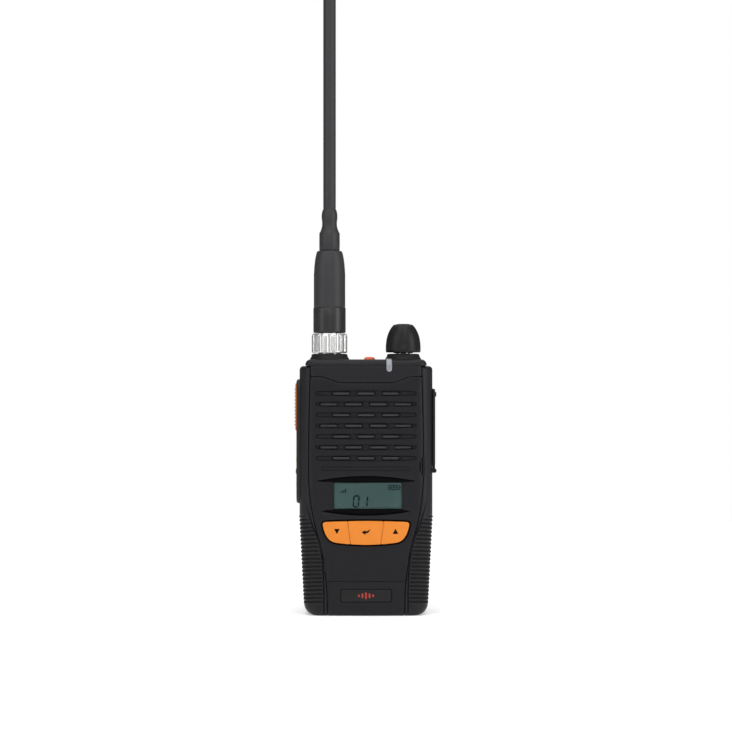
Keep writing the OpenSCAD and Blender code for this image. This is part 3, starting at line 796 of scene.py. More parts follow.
def inner_points(rim: Sequence[Point], ends: numpy.ndarray, step: float) -> list[Point]:
    """Evenly spread points inside loops, clear of their corners.

    Args:
        rim: The corners of the loops.
        ends: Both ends of every side of the loops.
        step: How far apart the points are.

    Returns:
        The points.
    """
    near = KDTree(len(rim))
    for i, p in enumerate(rim):
        near.insert((*p, 0.0), i)
    near.balance()
    low, high = numpy.min(rim, axis=0), numpy.max(rim, axis=0)
    rows = numpy.arange(low[1] + step / 2, high[1], step * 0.87)
    spread = [
        (x + (step / 2 if row % 2 else 0.0), y)
        for row, y in enumerate(rows)
        for x in numpy.arange(low[0] + step / 2, high[0], step)
    ]
    if not spread:
        return []
    kept = inside(numpy.array(spread), ends)
    return [
        (float(x), float(y))
        for keep, (x, y) in zip(kept, spread)
        if keep and near.find((x, y, 0.0))[2] > step * 0.6
    ]


# ---- Finishes ----


class Grain(Enum):
    """The way the fine marks of a finish run."""

    EVEN = (1.0, 1.0, 1.0)
    TURNED = (1.0, 1.0, 9.0)
    DRAWN = (6.0, 6.0, 0.4)


class Tree:
    """A node tree that is filled from left to right."""

    def __init__(self, nodes: bpy.types.NodeTree) -> None:
        """Takes over a node tree, which it empties."""
        self.tree = nodes
        self.tree.nodes.clear()

    def add(self, kind: str, operation: str | None = None, **values: object) -> bpy.types.Node:
        """Adds a node.

        Args:
            kind: The node's type.
            operation: Its operation, where it has one.
            values: Its inputs by name, with _ for a space. A socket is linked, and anything else is set.

        Returns:
            The node.
        """
        made = self.tree.nodes.new(kind)
        if operation:
            made.operation = operation
        for name, value in values.items():
            key = int(name[1:]) if name[0] == "i" and name[1:].isdigit() else name.replace("_", " ")
            if isinstance(value, Socket):
                self.tree.links.new(value, made.inputs[key])
            else:
                made.inputs[key].default_value = value
        return made

    def out(self, kind: str, operation: str | None = None, **values: object) -> Socket:
        """Adds a node, and gives its first output."""
        return self.add(kind, operation, **values).outputs[0]

    def math(self, operation: str, *values: object) -> Socket:
        """A math node's result."""
        return self.out("ShaderNodeMath", operation, **{f"i{i}": v for i, v in enumerate(values)})


@dataclass(frozen=True)
class Finish:
    """A solid finish: its colour and gloss, its fine grain and its mottling."""

    name: str
    colour: tuple[float, float, float]
    roughness: float = 0.5
    metallic: float = 0.0
    specular: float = 0.5
    grain_mm: float = 0.25
    grain_depth: float = 0.02
    grain: Grain = Grain.EVEN
    mottle: float = 0.12
    mottle_mm: float = 6.0
    gloss_change: float = 0.08
    coat: float = 0.0

    def material(self) -> bpy.types.Material:
        """Makes the finish a material, once.

        Returns:
            The material.
        """
        if self.name in bpy.data.materials:
            return bpy.data.materials[self.name]
        made = bpy.data.materials.new(self.name)
        made.use_nodes = True
        made.diffuse_color = (*self.colour, 1.0)
        tree = Tree(made.node_tree)
        place = tree.add("ShaderNodeTexCoord").outputs["Object"]
        tree.add("ShaderNodeOutputMaterial", Surface=self.surface(tree, place))
        return made

    def surface(self, tree: Tree, place: Socket) -> Socket:
        """Adds the nodes of the finish.

        Args:
            tree: The material's tree.
            place: The place on the object that is shaded.

        Returns:
            The finished surface.
        """
        cloud = tree.add("ShaderNodeTexNoise", Vector=place, Scale=1 / (self.mottle_mm * MM), Detail=4.0)
        tint = tree.add("ShaderNodeMix", i0=cloud.outputs[0])
        tint.data_type = "RGBA"
        for socket, sign in ((6, -1), (7, 1)):
            shade = (min(c * (1 + sign * self.mottle), 1.0) for c in self.colour)
            tint.inputs[socket].default_value = (*shade, 1.0)
        run = tree.out("ShaderNodeMapping", Vector=place, Scale=self.grain.value)
        pits = tree.add("ShaderNodeTexNoise", Vector=run, Scale=1 / (self.grain_mm * MM), Detail=3.0)
        gloss = tree.add("ShaderNodeMapRange", Value=pits.outputs[0])
        gloss.inputs["To Min"].default_value = max(self.roughness - self.gloss_change, 0.02)
        gloss.inputs["To Max"].default_value = self.roughness + self.gloss_change
        bump = tree.add("ShaderNodeBump", Height=pits.outputs[0], Strength=0.6,
                        Distance=self.grain_depth * MM)
        return tree.out("ShaderNodeBsdfPrincipled", Base_Color=tint.outputs[2], Roughness=gloss.outputs[0],
                        Metallic=self.metallic, Specular_IOR_Level=self.specular, Coat_Weight=self.coat,
                        Coat_Roughness=0.08, Normal=bump.outputs[0])


@dataclass(frozen=True)
class ClearFinish(Finish):
    """A clear window: it lets light straight through and mirrors more at a glance."""

    mirroring: float = 1.22

    def surface(self, tree: Tree, place: Socket) -> Socket:
        """Adds the nodes of the finish.

        Args:
            tree: The material's tree.
            place: The place on the object that is shaded.

        Returns:
            The finished surface.
        """
        waves = tree.add("ShaderNodeTexNoise", Vector=place, Scale=1 / (self.mottle_mm * MM))
        bump = tree.out("ShaderNodeBump", Height=waves.outputs[0], Strength=0.1,
                        Distance=self.grain_depth * MM)
        glance = tree.out("ShaderNodeFresnel", IOR=self.mirroring, Normal=bump)
        clear = tree.out("ShaderNodeBsdfTransparent", Color=(*self.colour, 1.0))
        mirror = tree.out("ShaderNodeBsdfGlossy", Roughness=self.roughness, Normal=bump)
        return tree.out("ShaderNodeMixShader", i0=glance, i1=clear, i2=mirror)


HOUSING = Finish("housing_plastic", (0.0064, 0.0058, 0.0082), 0.5, specular=0.2, grain_depth=0.03)
CAP = Finish("cap_plastic", (0.006, 0.0056, 0.0074), 0.52, specular=0.25, grain_depth=0.03)
GRIP = Finish("grip_rubber", (0.006, 0.0055, 0.0068), 0.5, specular=0.24, grain_mm=0.4, grain_depth=0.02)
BACK = Finish("back_plastic", (0.006, 0.006, 0.0064), 0.6, specular=0.3, grain_mm=0.5, grain_depth=0.06)
RUBBER = Finish("soft_rubber_skin", (0.005, 0.005, 0.0054), 0.62, specular=0.26, grain_mm=0.3,
                grain_depth=0.03)
BEZEL = Finish("bezel_plastic", (0.0055, 0.0052, 0.0062), 0.45, specular=0.32)
PIANO = Finish("window_print", (0.0006, 0.0006, 0.0009), 0.5, specular=0.06, grain_depth=0.0, mottle=0.05)
# Near-black on the walls of the sound slots and the keys' opening, and on the side slit: painted shade in
# those recesses, which draws dark outlines.
SLOT_SHADE = Finish("slot_paint", (0.0012, 0.0012, 0.0014), 0.9, specular=0.05, grain_depth=0.01)
KEY = Finish("key_silicone", (0.64, 0.195, 0.021), 0.5, specular=0.25, grain_mm=0.2, grain_depth=0.012,
             mottle=0.04, mottle_mm=3.0)
KEY_INK = Finish("key_ink", (0.006, 0.003, 0.002), 0.8, specular=0.05, grain_depth=0.005)
# A slightly darker copy of the front keys' orange: painted shade for the side keys, which face away from the
# main light.
SIDE_KEY_SHADED_ORANGE = Finish("transmit_plastic", (0.62, 0.18, 0.022), 0.45, specular=0.3, mottle=0.05)
ALARM = Finish("alarm_plastic", (0.62, 0.09, 0.025), 0.35, mottle=0.05)
EMBLEM = Finish("emblem_paint", (0.34, 0.018, 0.012), 0.35, grain_depth=0.004, mottle=0.08)
BADGE = Finish("badge_plastic", (0.0085, 0.0083, 0.009), 0.45, specular=0.22, grain_depth=0.01)
LCD = Finish("lcd_glass", (0.068, 0.128, 0.124), 0.7, specular=0.1, grain_mm=0.35, grain_depth=0.0,
             mottle=0.1, mottle_mm=9.0)
LCD_INK = Finish("lcd_segment", (0.0006, 0.0012, 0.0012), 0.9, specular=0.0, grain_depth=0.0)
CLEAR = ClearFinish("clear_window", (0.97, 0.98, 0.98), 0.2, grain_depth=0.0, mottle_mm=12.0)
NICKEL = Finish("nickel_plate", (0.7, 0.695, 0.69), 0.3, 0.82, grain=Grain.TURNED, grain_mm=0.5,
                grain_depth=0.015, mottle=0.06, mottle_mm=3.0)
KNURL = Finish("knurled_nickel", (0.7, 0.695, 0.69), 0.34, 0.8, grain_mm=0.45, grain_depth=0.16, mottle=0.1,
               mottle_mm=1.0, gloss_change=0.12)
STEEL = Finish("plated_steel_skin", (0.5, 0.49, 0.47), 0.32, 1.0, grain_mm=0.4, grain_depth=0.02)
BLACK_STEEL = Finish("blackened_steel", (0.03, 0.03, 0.032), 0.38, 0.85, grain_mm=0.4, grain_depth=0.03)
MESH = Finish("speaker_mesh_paint", (0.052, 0.05, 0.058), 0.65, grain_mm=0.3, grain_depth=0.01)
KNOB = Finish("knob_plastic", (0.0062, 0.0062, 0.0067), 0.46, specular=0.24)
PIPE = Finish("light_pipe_skin", (0.22, 0.235, 0.26), 0.22, grain_depth=0.004, mottle=0.05, coat=0.3)
GOLD = Finish("gold_plate", (0.83, 0.58, 0.22), 0.2, 1.0, grain=Grain.TURNED, grain_depth=0.01)
COPPER = Finish("copper_wire", (0.72, 0.28, 0.12), 0.3, 1.0, grain_depth=0.01)
BOARD = Finish("solder_mask", (0.01, 0.1, 0.045), 0.3, grain_mm=0.6, grain_depth=0.02, coat=0.4)
SLEEVE = Finish("cell_sleeve_skin", (0.02, 0.09, 0.28), 0.3, grain_depth=0.01, mottle=0.1)
CONE = Finish("speaker_paper", (0.015, 0.014, 0.014), 0.8, grain_mm=0.7, grain_depth=0.08)
CLIP = Finish("clip_nylon", (0.0095, 0.0095, 0.01), 0.5, specular=0.4, grain_mm=0.35, grain_depth=0.04)
MAST = Finish("antenna_rubber_skin", (0.026, 0.026, 0.028), 0.5, specular=0.3, grain_mm=0.35,
              grain_depth=0.012, grain=Grain.DRAWN, mottle=0.06)
SLEEVE_RUBBER = Finish("antenna_sleeve", (0.016, 0.016, 0.017), 0.4, specular=0.36, grain_mm=0.35,
                       grain_depth=0.012, mottle=0.06)


# ---- Geometry node trees ----


class Shaper:
    """A geometry tree with named inputs, and its use on pieces."""

    def __init__(self, name: str, **sockets: str) -> None:
        """Starts a tree.

        Args:
            name: The tree's name.
            sockets: The kinds of its inputs by name, with _ for a space. It gets one more for the finish.
        """
        self.group = bpy.data.node_groups.new(name, "GeometryNodeTree")
        face = self.group.interface
        face.new_socket("Geometry", in_out="OUTPUT", socket_type="NodeSocketGeometry")
        face.new_socket("Geometry", in_out="INPUT", socket_type="NodeSocketGeometry")
        for label, kind in {**sockets, "Finish": "Material"}.items():
            face.new_socket(label.replace("_", " "), in_out="INPUT", socket_type=f"NodeSocket{kind}")
        self.tree = Tree(self.group)
        self.given = self.tree.add("NodeGroupInput").outputs

    def close(self, geometry: Socket) -> None:
        """Ends the tree: instances are made real and get the finish.

        Args:
            geometry: What the tree makes.
        """
        real = self.tree.out("GeometryNodeRealizeInstances", Geometry=geometry)
        dressed = self.tree.add("GeometryNodeSetMaterial", Geometry=real, Material=self.given["Finish"])
        self.tree.add("NodeGroupOutput", Geometry=dressed.outputs[0])

    def use(self, piece: Piece, finish: Finish, **values: object) -> Piece:
        """Runs the tree on a piece and keeps the result as its plain mesh.

        Args:
            piece: The piece.
            finish: What the result is dressed in.
            values: The tree's inputs by name, with _ for a space.

        Returns:
            The piece.
        """
        modifier = piece.modifiers.new(self.group.name, "NODES")
        modifier.node_group = self.group
        keys = {s.name: s.identifier for s in self.group.interface.items_tree if s.in_out == "INPUT"}
        modifier[keys["Finish"]] = finish.material()
        for name, value in values.items():
            modifier[keys[name.replace("_", " ")]] = value
        return applied(piece)


def applied(piece: Piece) -> Piece:
    """Makes a piece's modifiers part of its mesh.

    Args:
        piece: The piece.

    Returns:
        The piece.
    """
    bpy.context.view_layer.update()
    graph = bpy.context.evaluated_depsgraph_get()
    mesh = bpy.data.meshes.new_from_object(piece.evaluated_get(graph), depsgraph=graph)
    piece.modifiers.clear()
    old, piece.data = piece.data, mesh
    bpy.data.meshes.remove(old)
    mesh.name = piece.name
    tidied(mesh)
    return piece


def rib_shaper() -> Shaper:
    """The tree that cuts level grooves in a skin, where its rib_share attribute says.

    Returns:
        The tree.
    """
    made = Shaper("grip_ribs", First="Float", Pitch="Float", Depth="Float", Crest="Float")
    tree, given = made.tree, made.given
    share = tree.out("GeometryNodeInputNamedAttribute", Name="rib_share")
    height = tree.add("ShaderNodeSeparateXYZ", i0=tree.out("GeometryNodeInputPosition")).outputs[2]
    turns = tree.math("DIVIDE", tree.math("SUBTRACT", height, given["First"]), given["Pitch"])
    wave = tree.math("COSINE", tree.math("MULTIPLY", turns, math.tau))
    groove = tree.math("POWER", tree.math("MULTIPLY_ADD", wave, 0.5, 0.5), 1.7)
    crest = tree.math("SUBTRACT", groove, given["Crest"])
    sunk = tree.math("MULTIPLY", tree.math("MULTIPLY", crest, share), given["Depth"])
    normal = tree.out("GeometryNodeInputNormal")
    offset = tree.add("ShaderNodeVectorMath", "SCALE", i0=normal, Scale=tree.math("MULTIPLY", sunk, -1.0))
    moved = tree.add("GeometryNodeSetPosition", Geometry=given["Geometry"], Offset=offset.outputs[0])
    made.close(moved.outputs[0])
    return made


def row_shaper() -> Shaper:
    """The tree that stands copies of a piece in a straight row, and keeps what it is given.

    Returns:
        The tree.
    """
    made = Shaper("row_of_copies", Piece="Object", Count="Int", Start="Vector", Step="Vector")
    tree, given = made.tree, made.given
    line = tree.add("GeometryNodeMeshLine", Count=given["Count"], Start_Location=given["Start"],
                    Offset=given["Step"])
    source = tree.add("GeometryNodeObjectInfo", Object=given["Piece"])
    copies = tree.add("GeometryNodeInstanceOnPoints", Points=line.outputs[0],
                      Instance=source.outputs["Geometry"])
    both = tree.add("GeometryNodeJoinGeometry")
    for part in (copies.outputs[0], given["Geometry"]):
        tree.tree.links.new(part, both.inputs[0])
    made.close(both.outputs[0])
    return made


def spread_shaper() -> Shaper:
    """The tree that stands a copy of a piece, turned to face forwards, on every point that it is given.

    Returns:
        The tree.
    """
    made = Shaper("copies_on_points", Piece="Object", Turn="Vector")
    tree, given = made.tree, made.given
    source = tree.add("GeometryNodeObjectInfo", Object=given["Piece"])
    copies = tree.add("GeometryNodeInstanceOnPoints", Points=given["Geometry"],
                      Instance=source.outputs["Geometry"], Rotation=given["Turn"])
    made.close(copies.outputs[0])
    return made


def mesh_shaper() -> Shaper:
    """The tree that lays perforated tiles side by side on a sheet that bows forward in the middle.

    Returns:
        The tree.
    """
    made = Shaper("perforated_sheet", Tile="Object", Width="Float", Height="Float", Across="Int", Up="Int",
                  Middle="Vector", Crown_Radius="Float")
    tree, given = made.tree, made.given
    grid = tree.out("GeometryNodeMeshGrid", Size_X=given["Width"], Size_Y=given["Height"],
                    Vertices_X=given["Across"], Vertices_Y=given["Up"])
    x, up, _ = tree.add("ShaderNodeSeparateXYZ", i0=tree.out("GeometryNodeInputPosition")).outputs
    upright = tree.out("ShaderNodeCombineXYZ", X=x, Z=up)
    stood = tree.out("GeometryNodeSetPosition", Geometry=grid, Position=upright)
    tile = tree.add("GeometryNodeObjectInfo", Object=given["Tile"]).outputs["Geometry"]
    copies = tree.out("GeometryNodeInstanceOnPoints", Points=stood, Instance=tile)
    real = tree.out("GeometryNodeRealizeInstances", Geometry=copies)
    welded = tree.out("GeometryNodeMergeByDistance", Geometry=real, Distance=0.002 * MM)
    out = tree.out("ShaderNodeSeparateXYZ", i0=tree.out("GeometryNodeInputPosition"))
    across = tree.math("MULTIPLY", given["Crown Radius"], 2.0)
    bow = tree.math("DIVIDE", tree.math("MULTIPLY", out, out), across)
    back = tree.out("ShaderNodeCombineXYZ", Y=bow)
    moved = tree.out("ShaderNodeVectorMath", "ADD", i0=back, i1=given["Middle"])
    made.close(tree.out("GeometryNodeSetPosition", Geometry=welded, Offset=moved))
    return made


def pocketed(piece: Piece, outline: Outline, deep: float, surface: Surface) -> Piece:
    """Cuts a pocket with straight sides out of a piece.

    Args:
        piece: The piece, which is closed.
        outline: The pocket's outline.
        deep: How deep it goes.
        surface: The plane that it starts from.

    Returns:
        The piece.
    """
    cutter = Shell().slab(Patch(outline, ((0.0, deep), (0.0, 0.0))), surface).piece("pocket")
    modifier = piece.modifiers.new("cut", "BOOLEAN")
    modifier.operation = "DIFFERENCE"
    modifier.solver = "EXACT"
    modifier.object = cutter
    applied(piece)
    drop(cutter)
    return piece


def ridge_bar(size: Sequence[float], finish: Finish, bevel: float = 0.3) -> Piece:
    """A small bar with soft edges, to be copied.

    Args:
        size: Its full size.
        finish: What it is made of.
        bevel: The radius of its edges.

    Returns:
        The bar.
    """
    deep, wide, tall = size
    rings = ((0.0, deep), (0.0, bevel), (bevel * 0.35, bevel * 0.3), (bevel, 0.0))
    bar = round_box(0, 0, wide, tall, min(wide, tall) / 2 - 0.01, 5)
    return Shell().slab(Patch(bar, rings), facing_left(-deep)).piece("ridge_bar", finish)


def ridged(piece: Piece, size: Sequence[float], finish: Finish,
           places: Sequence[tuple[float, float, float]], turn: float = -math.pi / 2) -> Piece:
    """Adds a row of soft-edged bars to a piece.

    Args:
        piece: The piece.
        size: The full size of a bar that faces left.
        finish: What the bars are made of.
        places: The middle of each bar's foot.
        turn: How far each bar is turned about the upright.

    Returns:
        The piece.
    """
    bar = ridge_bar(size, finish)
    points = bpy.data.meshes.new("ridge_points")
    points.from_pydata([tuple(c * MM for c in place) for place in places], [], [])
    row = spread_shaper().use(shown("ridges", points), finish, Piece=bar, Turn=(0.0, 0.0, turn))
    drop(bar)
    return joined([piece, row])


def drop(helper: Piece) -> None:
    """Deletes an object that was only needed on the way.

    Args:
        helper: The object.
    """
    mesh = helper.data
    bpy.data.objects.remove(helper)
    bpy.data.meshes.remove(mesh)


def claim(piece: Piece, body: str, slot: str, *nodes: str) -> None:
    """Gives a finished piece its body, and hides the CAD nodes that it stands for.

    Args:
        piece: The piece.
        body: The CAD body it rides on.
        slot: The record's material slot; not used.
        nodes: The CAD nodes it replaces.
    """
    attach(piece, body)
    if nodes:
        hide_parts(*nodes)
    LOG.info("%s rides on %s with %d faces", piece.name, body, len(piece.data.polygons))


def joined(pieces: Sequence[Piece]) -> Piece:
    """Makes several pieces one, which keeps the first one's name.

    Args:
        pieces: The pieces.

    Returns:
        The one piece.
    """
    first, *others = pieces
    with bpy.context.temp_override(active_object=first, selected_editable_objects=list(pieces)):
        bpy.ops.object.join()
    return first


# ---- The front ----

SEAM = [
    (16.2, -40.0),
    *curve((16.3, 8.0), ((17.0, 22.0), (19.7, 32.0), 12), ((23.4, 43.0), (24.2, 57.0), 12),
           ((24.4, 80.0), (23.2, 110.0), 8))]
BEAD_EDGE = [
    (17.6, -40.0),
    *curve((17.7, 14.0), ((18.2, 27.0), (20.9, 34.2), 10), ((24.0, 41.6), (25.8, 49.5), 10)),
    (26.3, 56.0), (26.4, 110.0)]


def along(line: Sequence[Point], z: float) -> float:
    """The X of an upright line at a height."""
    return float(numpy.interp(z, [p[1] for p in line], [p[0] for p in line]))


def cap_seam(x: float) -> float:
    """The height of the wavy seam under the top cap."""
    return 98.2 + 2.6 * smooth(abs(x), 10.2, 19.8)


@dataclass
class FrontPanel:
    """The middle moulding of the front: grille, display opening, key opening and badge recess."""

    wall: float = 1.3
    foot_end: float = -16.0
    step: float = 1.5
    row_z: float = 66.4
    row_pitch: float = 4.55
    rows: int = 7
    slot_length: float = 8.0
    slot_height: float = 1.9
    slot_pitch: float = 10.5
    dip: float = 0.62
    ramp: float = 1.15
    lcd_left: float = -13.8
    lcd_right: float = 15.4
    lcd_low: float = 44.7
    lcd_high: float = 56.3
    notch: tuple[Point, ...] = ((24.0, 59.1), (22.5, 60.3), (22.4, 65.5), (24.0, 66.5))

    def outline(self) -> list[Point]:
        """The panel's edge: up the right seam, along the cap seam and down the left seam.

        Returns:
            The corners, anticlockwise.
        """
        heights = [self.foot_end, *numpy.linspace(0, 100.6, 48)]
        right = [(along(SEAM, z) - SEAM_GAP, float(z)) for z in heights]
        low, high = self.notch[0][1], self.notch[-1][1]
        below = [p for p in right if p[1] < low]
        above = [p for p in right if p[1] > high]
        across = numpy.linspace(22.6, -22.6, 32)
        top = [(float(x), cap_seam(x) - SEAM_GAP) for x in across]
        return [*below, *self.notch, *above, *top, *mirrored(right)]

    def ramp_relief(self, x: float, z: float) -> float:
        """How far the skin beside the display slopes down to it.

        Args:
            x, z: A point of the front.

        Returns:
            The depth.
        """
        if not 43.4 < z < 57.4:
            return 0.0
        start = 19.4 + 1.8 * smooth(z, 44.0, 56.5)
        return self.ramp * smooth(start - abs(x), 0.0, start - self.lcd_right + 0.3)

    def display_edge(self) -> list[Point]:
        """The display opening: a crescent above, the display and a crescent below.

        Returns:
            The corners, anticlockwise.
        """
        left, right, low, high = self.lcd_left, self.lcd_right, self.lcd_low, self.lcd_high
        upper = bend((20.7, 57.0), (0, 61.2), (-20.7, 57.0), 20)
        lower = bend((-18.9, 43.9), (0, 40.4), (18.9, 43.9), 20)
        return [
            (right, low + 0.1), (right, high - 0.1), (right + 1, high), (20.2, 56.55), *upper,
            (-20.2, 56.55), (left - 1, high), (left, high - 0.1), (left, low + 0.1), (left - 1, low),
            (-17.0, low - 0.05), *lower, (17.0, low - 0.05), (right + 1, low)]

    def slot(self, x: float, z: float) -> Patch:
        """One sound slot, right through the floor of its dip; its walls take the panel's second finish, a
        near-black painted shade.

        Args:
            x, z: Its middle.

        Returns:
            The patch.
        """
        edge = round_box(x, z, self.slot_length, self.slot_height, self.slot_height / 2 - 0.02, 5)
        rings = ((0.0, self.dip), (0.06, self.dip + 0.12), (0.34, self.wall - 0.08), (0.34, self.wall))
        # finish 1 paints the slot's walls near-black: painted shade.
        return Patch(edge, rings, through=True, finish=1)

    def land(self, x: float, z: float, width: float, near: float, far: float, turn: int) -> Patch:
        """A raised land in a dip, from a tall near end to a low far end.

        Args:
            x, z: The middle of the near end.
            width: Its length.
            near, far: Its heights at the two ends.
            turn: 1 when the far end is on the right, and -1 when it is on the left.

        Returns:
            The patch.
        """
        corners = [(x, z - near / 2), (x + width, z - far / 2), (x + width, z + far / 2), (x, z + near / 2)]
        if turn < 0:
            corners = [(2 * x - a, b) for a, b in reversed(corners)]
        rings = ((0.0, self.dip), (0.06, self.dip - 0.3), (0.2, self.dip - 0.36))
        return Patch(shape(eased(corners, 0.5)), rings)

    def row(self, number: int) -> Patch:
        """One lens-shaped dip of the grille, with its slots and the lands between them.

        Args:
            number: The row's number, from the bottom.

        Returns:
            The patch.
        """
        z = self.row_z + number * self.row_pitch
        wide = number % 2 == 1
        count = 4 if wide else 3
        xs = [(i - (count - 1) / 2) * self.slot_pitch for i in range(count)]
        parts = [self.slot(x, z) for x in xs]
        gap = self.slot_pitch - self.slot_length
        for x in xs[:-1]:
            middle = x + self.slot_pitch / 2
            parts.append(self.land(middle - gap * 0.31, z, gap * 0.62, 1.55, 1.55, 1))
        for side in (1, -1):
            if wide:
                parts.append(self.land(side * 20.05, z, 0.65, 1.1, 0.8, side))
            else:
                parts.append(self.land(side * 15.1, z, 5.4, 1.6, 0.75, side))
        edge = curve((-20.9, z - 0.85), ((0, z - 1.75), (20.9, z - 0.85), 12),
                     ((21.7, z), (20.9, z + 0.85), 4), ((0, z + 1.75), (-20.9, z + 0.85), 12),
                     ((-21.7, z), (-20.9, z - 0.85), 4))[:-1]
        rings = ((-0.05, 0.0), (0.03, 0.08), (0.16, self.dip - 0.05), (0.22, self.dip))
        return Patch(shape(edge), rings, tuple(parts))

    def groove(self, outline: Outline, inner: Outline | None, depth: float) -> Patch:
        """A shallow cut, with the land inside it at full height where there is one."""
        land = (Patch(inner, ((0.0, depth), (0.07, 0.05), (0.14, 0.0))),) if inner else ()
        return Patch(outline, ((0.0, 0.0), (0.07, 0.06), (0.12, depth)), land)

    def build(self) -> Piece:
        """Makes the panel.

        Returns:
            The piece.
        """
        seam_half = along(SEAM, 14.7) - 0.55
        # The walls of the keys' opening take finish 1: near-black painted shade that outlines the keys.
        keys = Patch(FrontKeys().strip(0.72), ((0.0, 0.0), (0.06, 0.04), (0.12, 0.25), (0.12, self.wall)),
                     through=True, finish=1)
        display = Patch(shape(self.display_edge()),
                        ((0.0, 0.0), (0.06, 0.04), (0.1, 0.14), (0.1, self.wall)), through=True)
        features = [
            *(self.row(i) for i in range(self.rows)),
            self.groove(round_box(0, 62.0, 37.4, 1.9, 0.6), round_box(0, 62.0, 36.5, 1.0, 0.3), 0.28),
            display,
            keys,
            self.groove(round_box(0, 14.7, 2 * seam_half, 0.42, 0.12), None, 0.4),
            Patch(round_box(0, 8.7, 21.8, 5.85, 0.7), ((0.0, 0.0), (0.08, 0.05), (0.12, 0.75))),
        ]
        shell = Shell()
        rings = ((0.0, self.wall), (0.0, 0.3), (0.07, 0.1), (0.26, 0.0))
        shell.slab(Patch(shape(self.outline()), rings, tuple(features)), BODY, self.ramp_relief, self.step)
        # The slit's walls and floor take finish 1: near-black painted shade.
        slit = Patch(round_box(23.2, 62.9, 0.5, 4.2, 0.22, 3), ((0.0, 1.35), (0.03, 1.75)), finish=1)
        pocket = Patch(round_box(23.5, 62.8, 5.4, 10.4, 0.5, 3), ((0.0, 1.9), (0.0, 1.35)), (slit,))
        shell.slab(pocket, BODY, step=self.step)
        return shell.piece("front_panel", HOUSING, SLOT_SHADE)


@dataclass
class TopCap:
    """The cap over the top, with the strip of the front that is moulded on it."""

    half_width: float = 25.6
    small_radius: float = 2.5
    back: float = 6.0
    seam_z: float = 105.3
    wall: float = 1.5
    slot_left: float = 8.35
    slot_right: float = 11.15
    slot_z: float = 103.95
    slot_depth: float = 1.1
    alarm_hole: float = 2.6

    def strip(self) -> list[Point]:
        """The outline of the strip between the wavy seam and the cap's top.

        Returns:
            The corners, anticlockwise.
        """
        low = [(float(x), cap_seam(x) + SEAM_GAP) for x in numpy.linspace(-22.9, 22.9, 36)]
        sides = [(along(SEAM, z) - SEAM_GAP, float(z)) for z in numpy.linspace(101.4, self.seam_z, 4)]
        middle = (self.slot_left + self.slot_right) / 2
        notch = arc(middle, self.slot_z, (self.slot_right - self.slot_left) / 2, 0, -180, 10)
        return [*low, *sides, (self.slot_right, self.seam_z), *notch, (self.slot_left, self.seam_z),
                *mirrored(sides)]

    def section(self, inset: float) -> list[Point]:
        """The cap from above, drawn in, with the light's slot in its front edge.

        Args:
            inset: How far it is drawn in.

        Returns:
            The corners, anticlockwise.
        """
        radius, z = self.small_radius, 100.0
        angle, centre_y = BODY.corner(z)
        centre_x = BODY.half_width - BODY.corner_radius
        turn = math.asin((self.half_width - radius - centre_x) / (BODY.corner_radius - radius))
        last = BODY.crown_radius * angle + BODY.corner_radius * (turn - angle)
        spots = [(float(r), 0.0) for r in numpy.linspace(-last, last, 49)]
        edges = [BODY.reach(x, z) for x in (self.slot_left, self.slot_right)]
        spots = [s for s in spots if not edges[0] - 0.3 < s[0] < edges[1] + 0.3]
        deep = self.slot_depth
        spots += [(edges[0], 0.0), (edges[0] + 0.001, deep), (edges[1] - 0.001, deep), (edges[1], 0.0)]
        front = []
        for reach, sunk in sorted(spots):
            point, facing = BODY.section(reach, z)
            placed = point - facing * (inset + sunk)
            front.append((placed.x, placed.y))
        reach_xy = BODY.corner_radius - radius
        cx, cy = centre_x + reach_xy * math.sin(turn), centre_y - reach_xy * math.cos(turn)
        side = arc(cx, cy, radius - inset, -90 + math.degrees(turn), 0, 5)[1:]
        rear = arc(self.half_width - radius, self.back - radius, radius - inset, 0, 90, 4)
        half = [*side, *rear]
        return [*front, *half, *mirrored(half)]

    def build(self) -> Piece:
        """Makes the cap.

        Returns:
            The piece.
        """
        shell = Shell()
        rings = ((0.0, self.wall), (0.0, 0.22), (0.06, 0.07), (0.2, 0.0))
        shell.slab(Patch(shape(self.strip()), rings), BODY, step=1.5)
        roll = BODY.top
        tall = roll.end - self.seam_z
        fillet = [
            (roll.radius * (1 - math.sin(math.radians(a))), roll.radius * (1 - math.cos(math.radians(a))))
            for a in range(0, 91, 15)
        ]
        hole = bore(*ALARM_AXIS, self.alarm_hole, 0.15, 1.2, 30)
        steps = ((0.22, tall), (0.06, tall - 0.06), (0.0, tall - 0.2), *sorted(fillet))
        shell.slab(Patch(self.section, steps, (hole,)), facing_up(roll.end))
        return shell.piece("top_cap_shell", CAP)


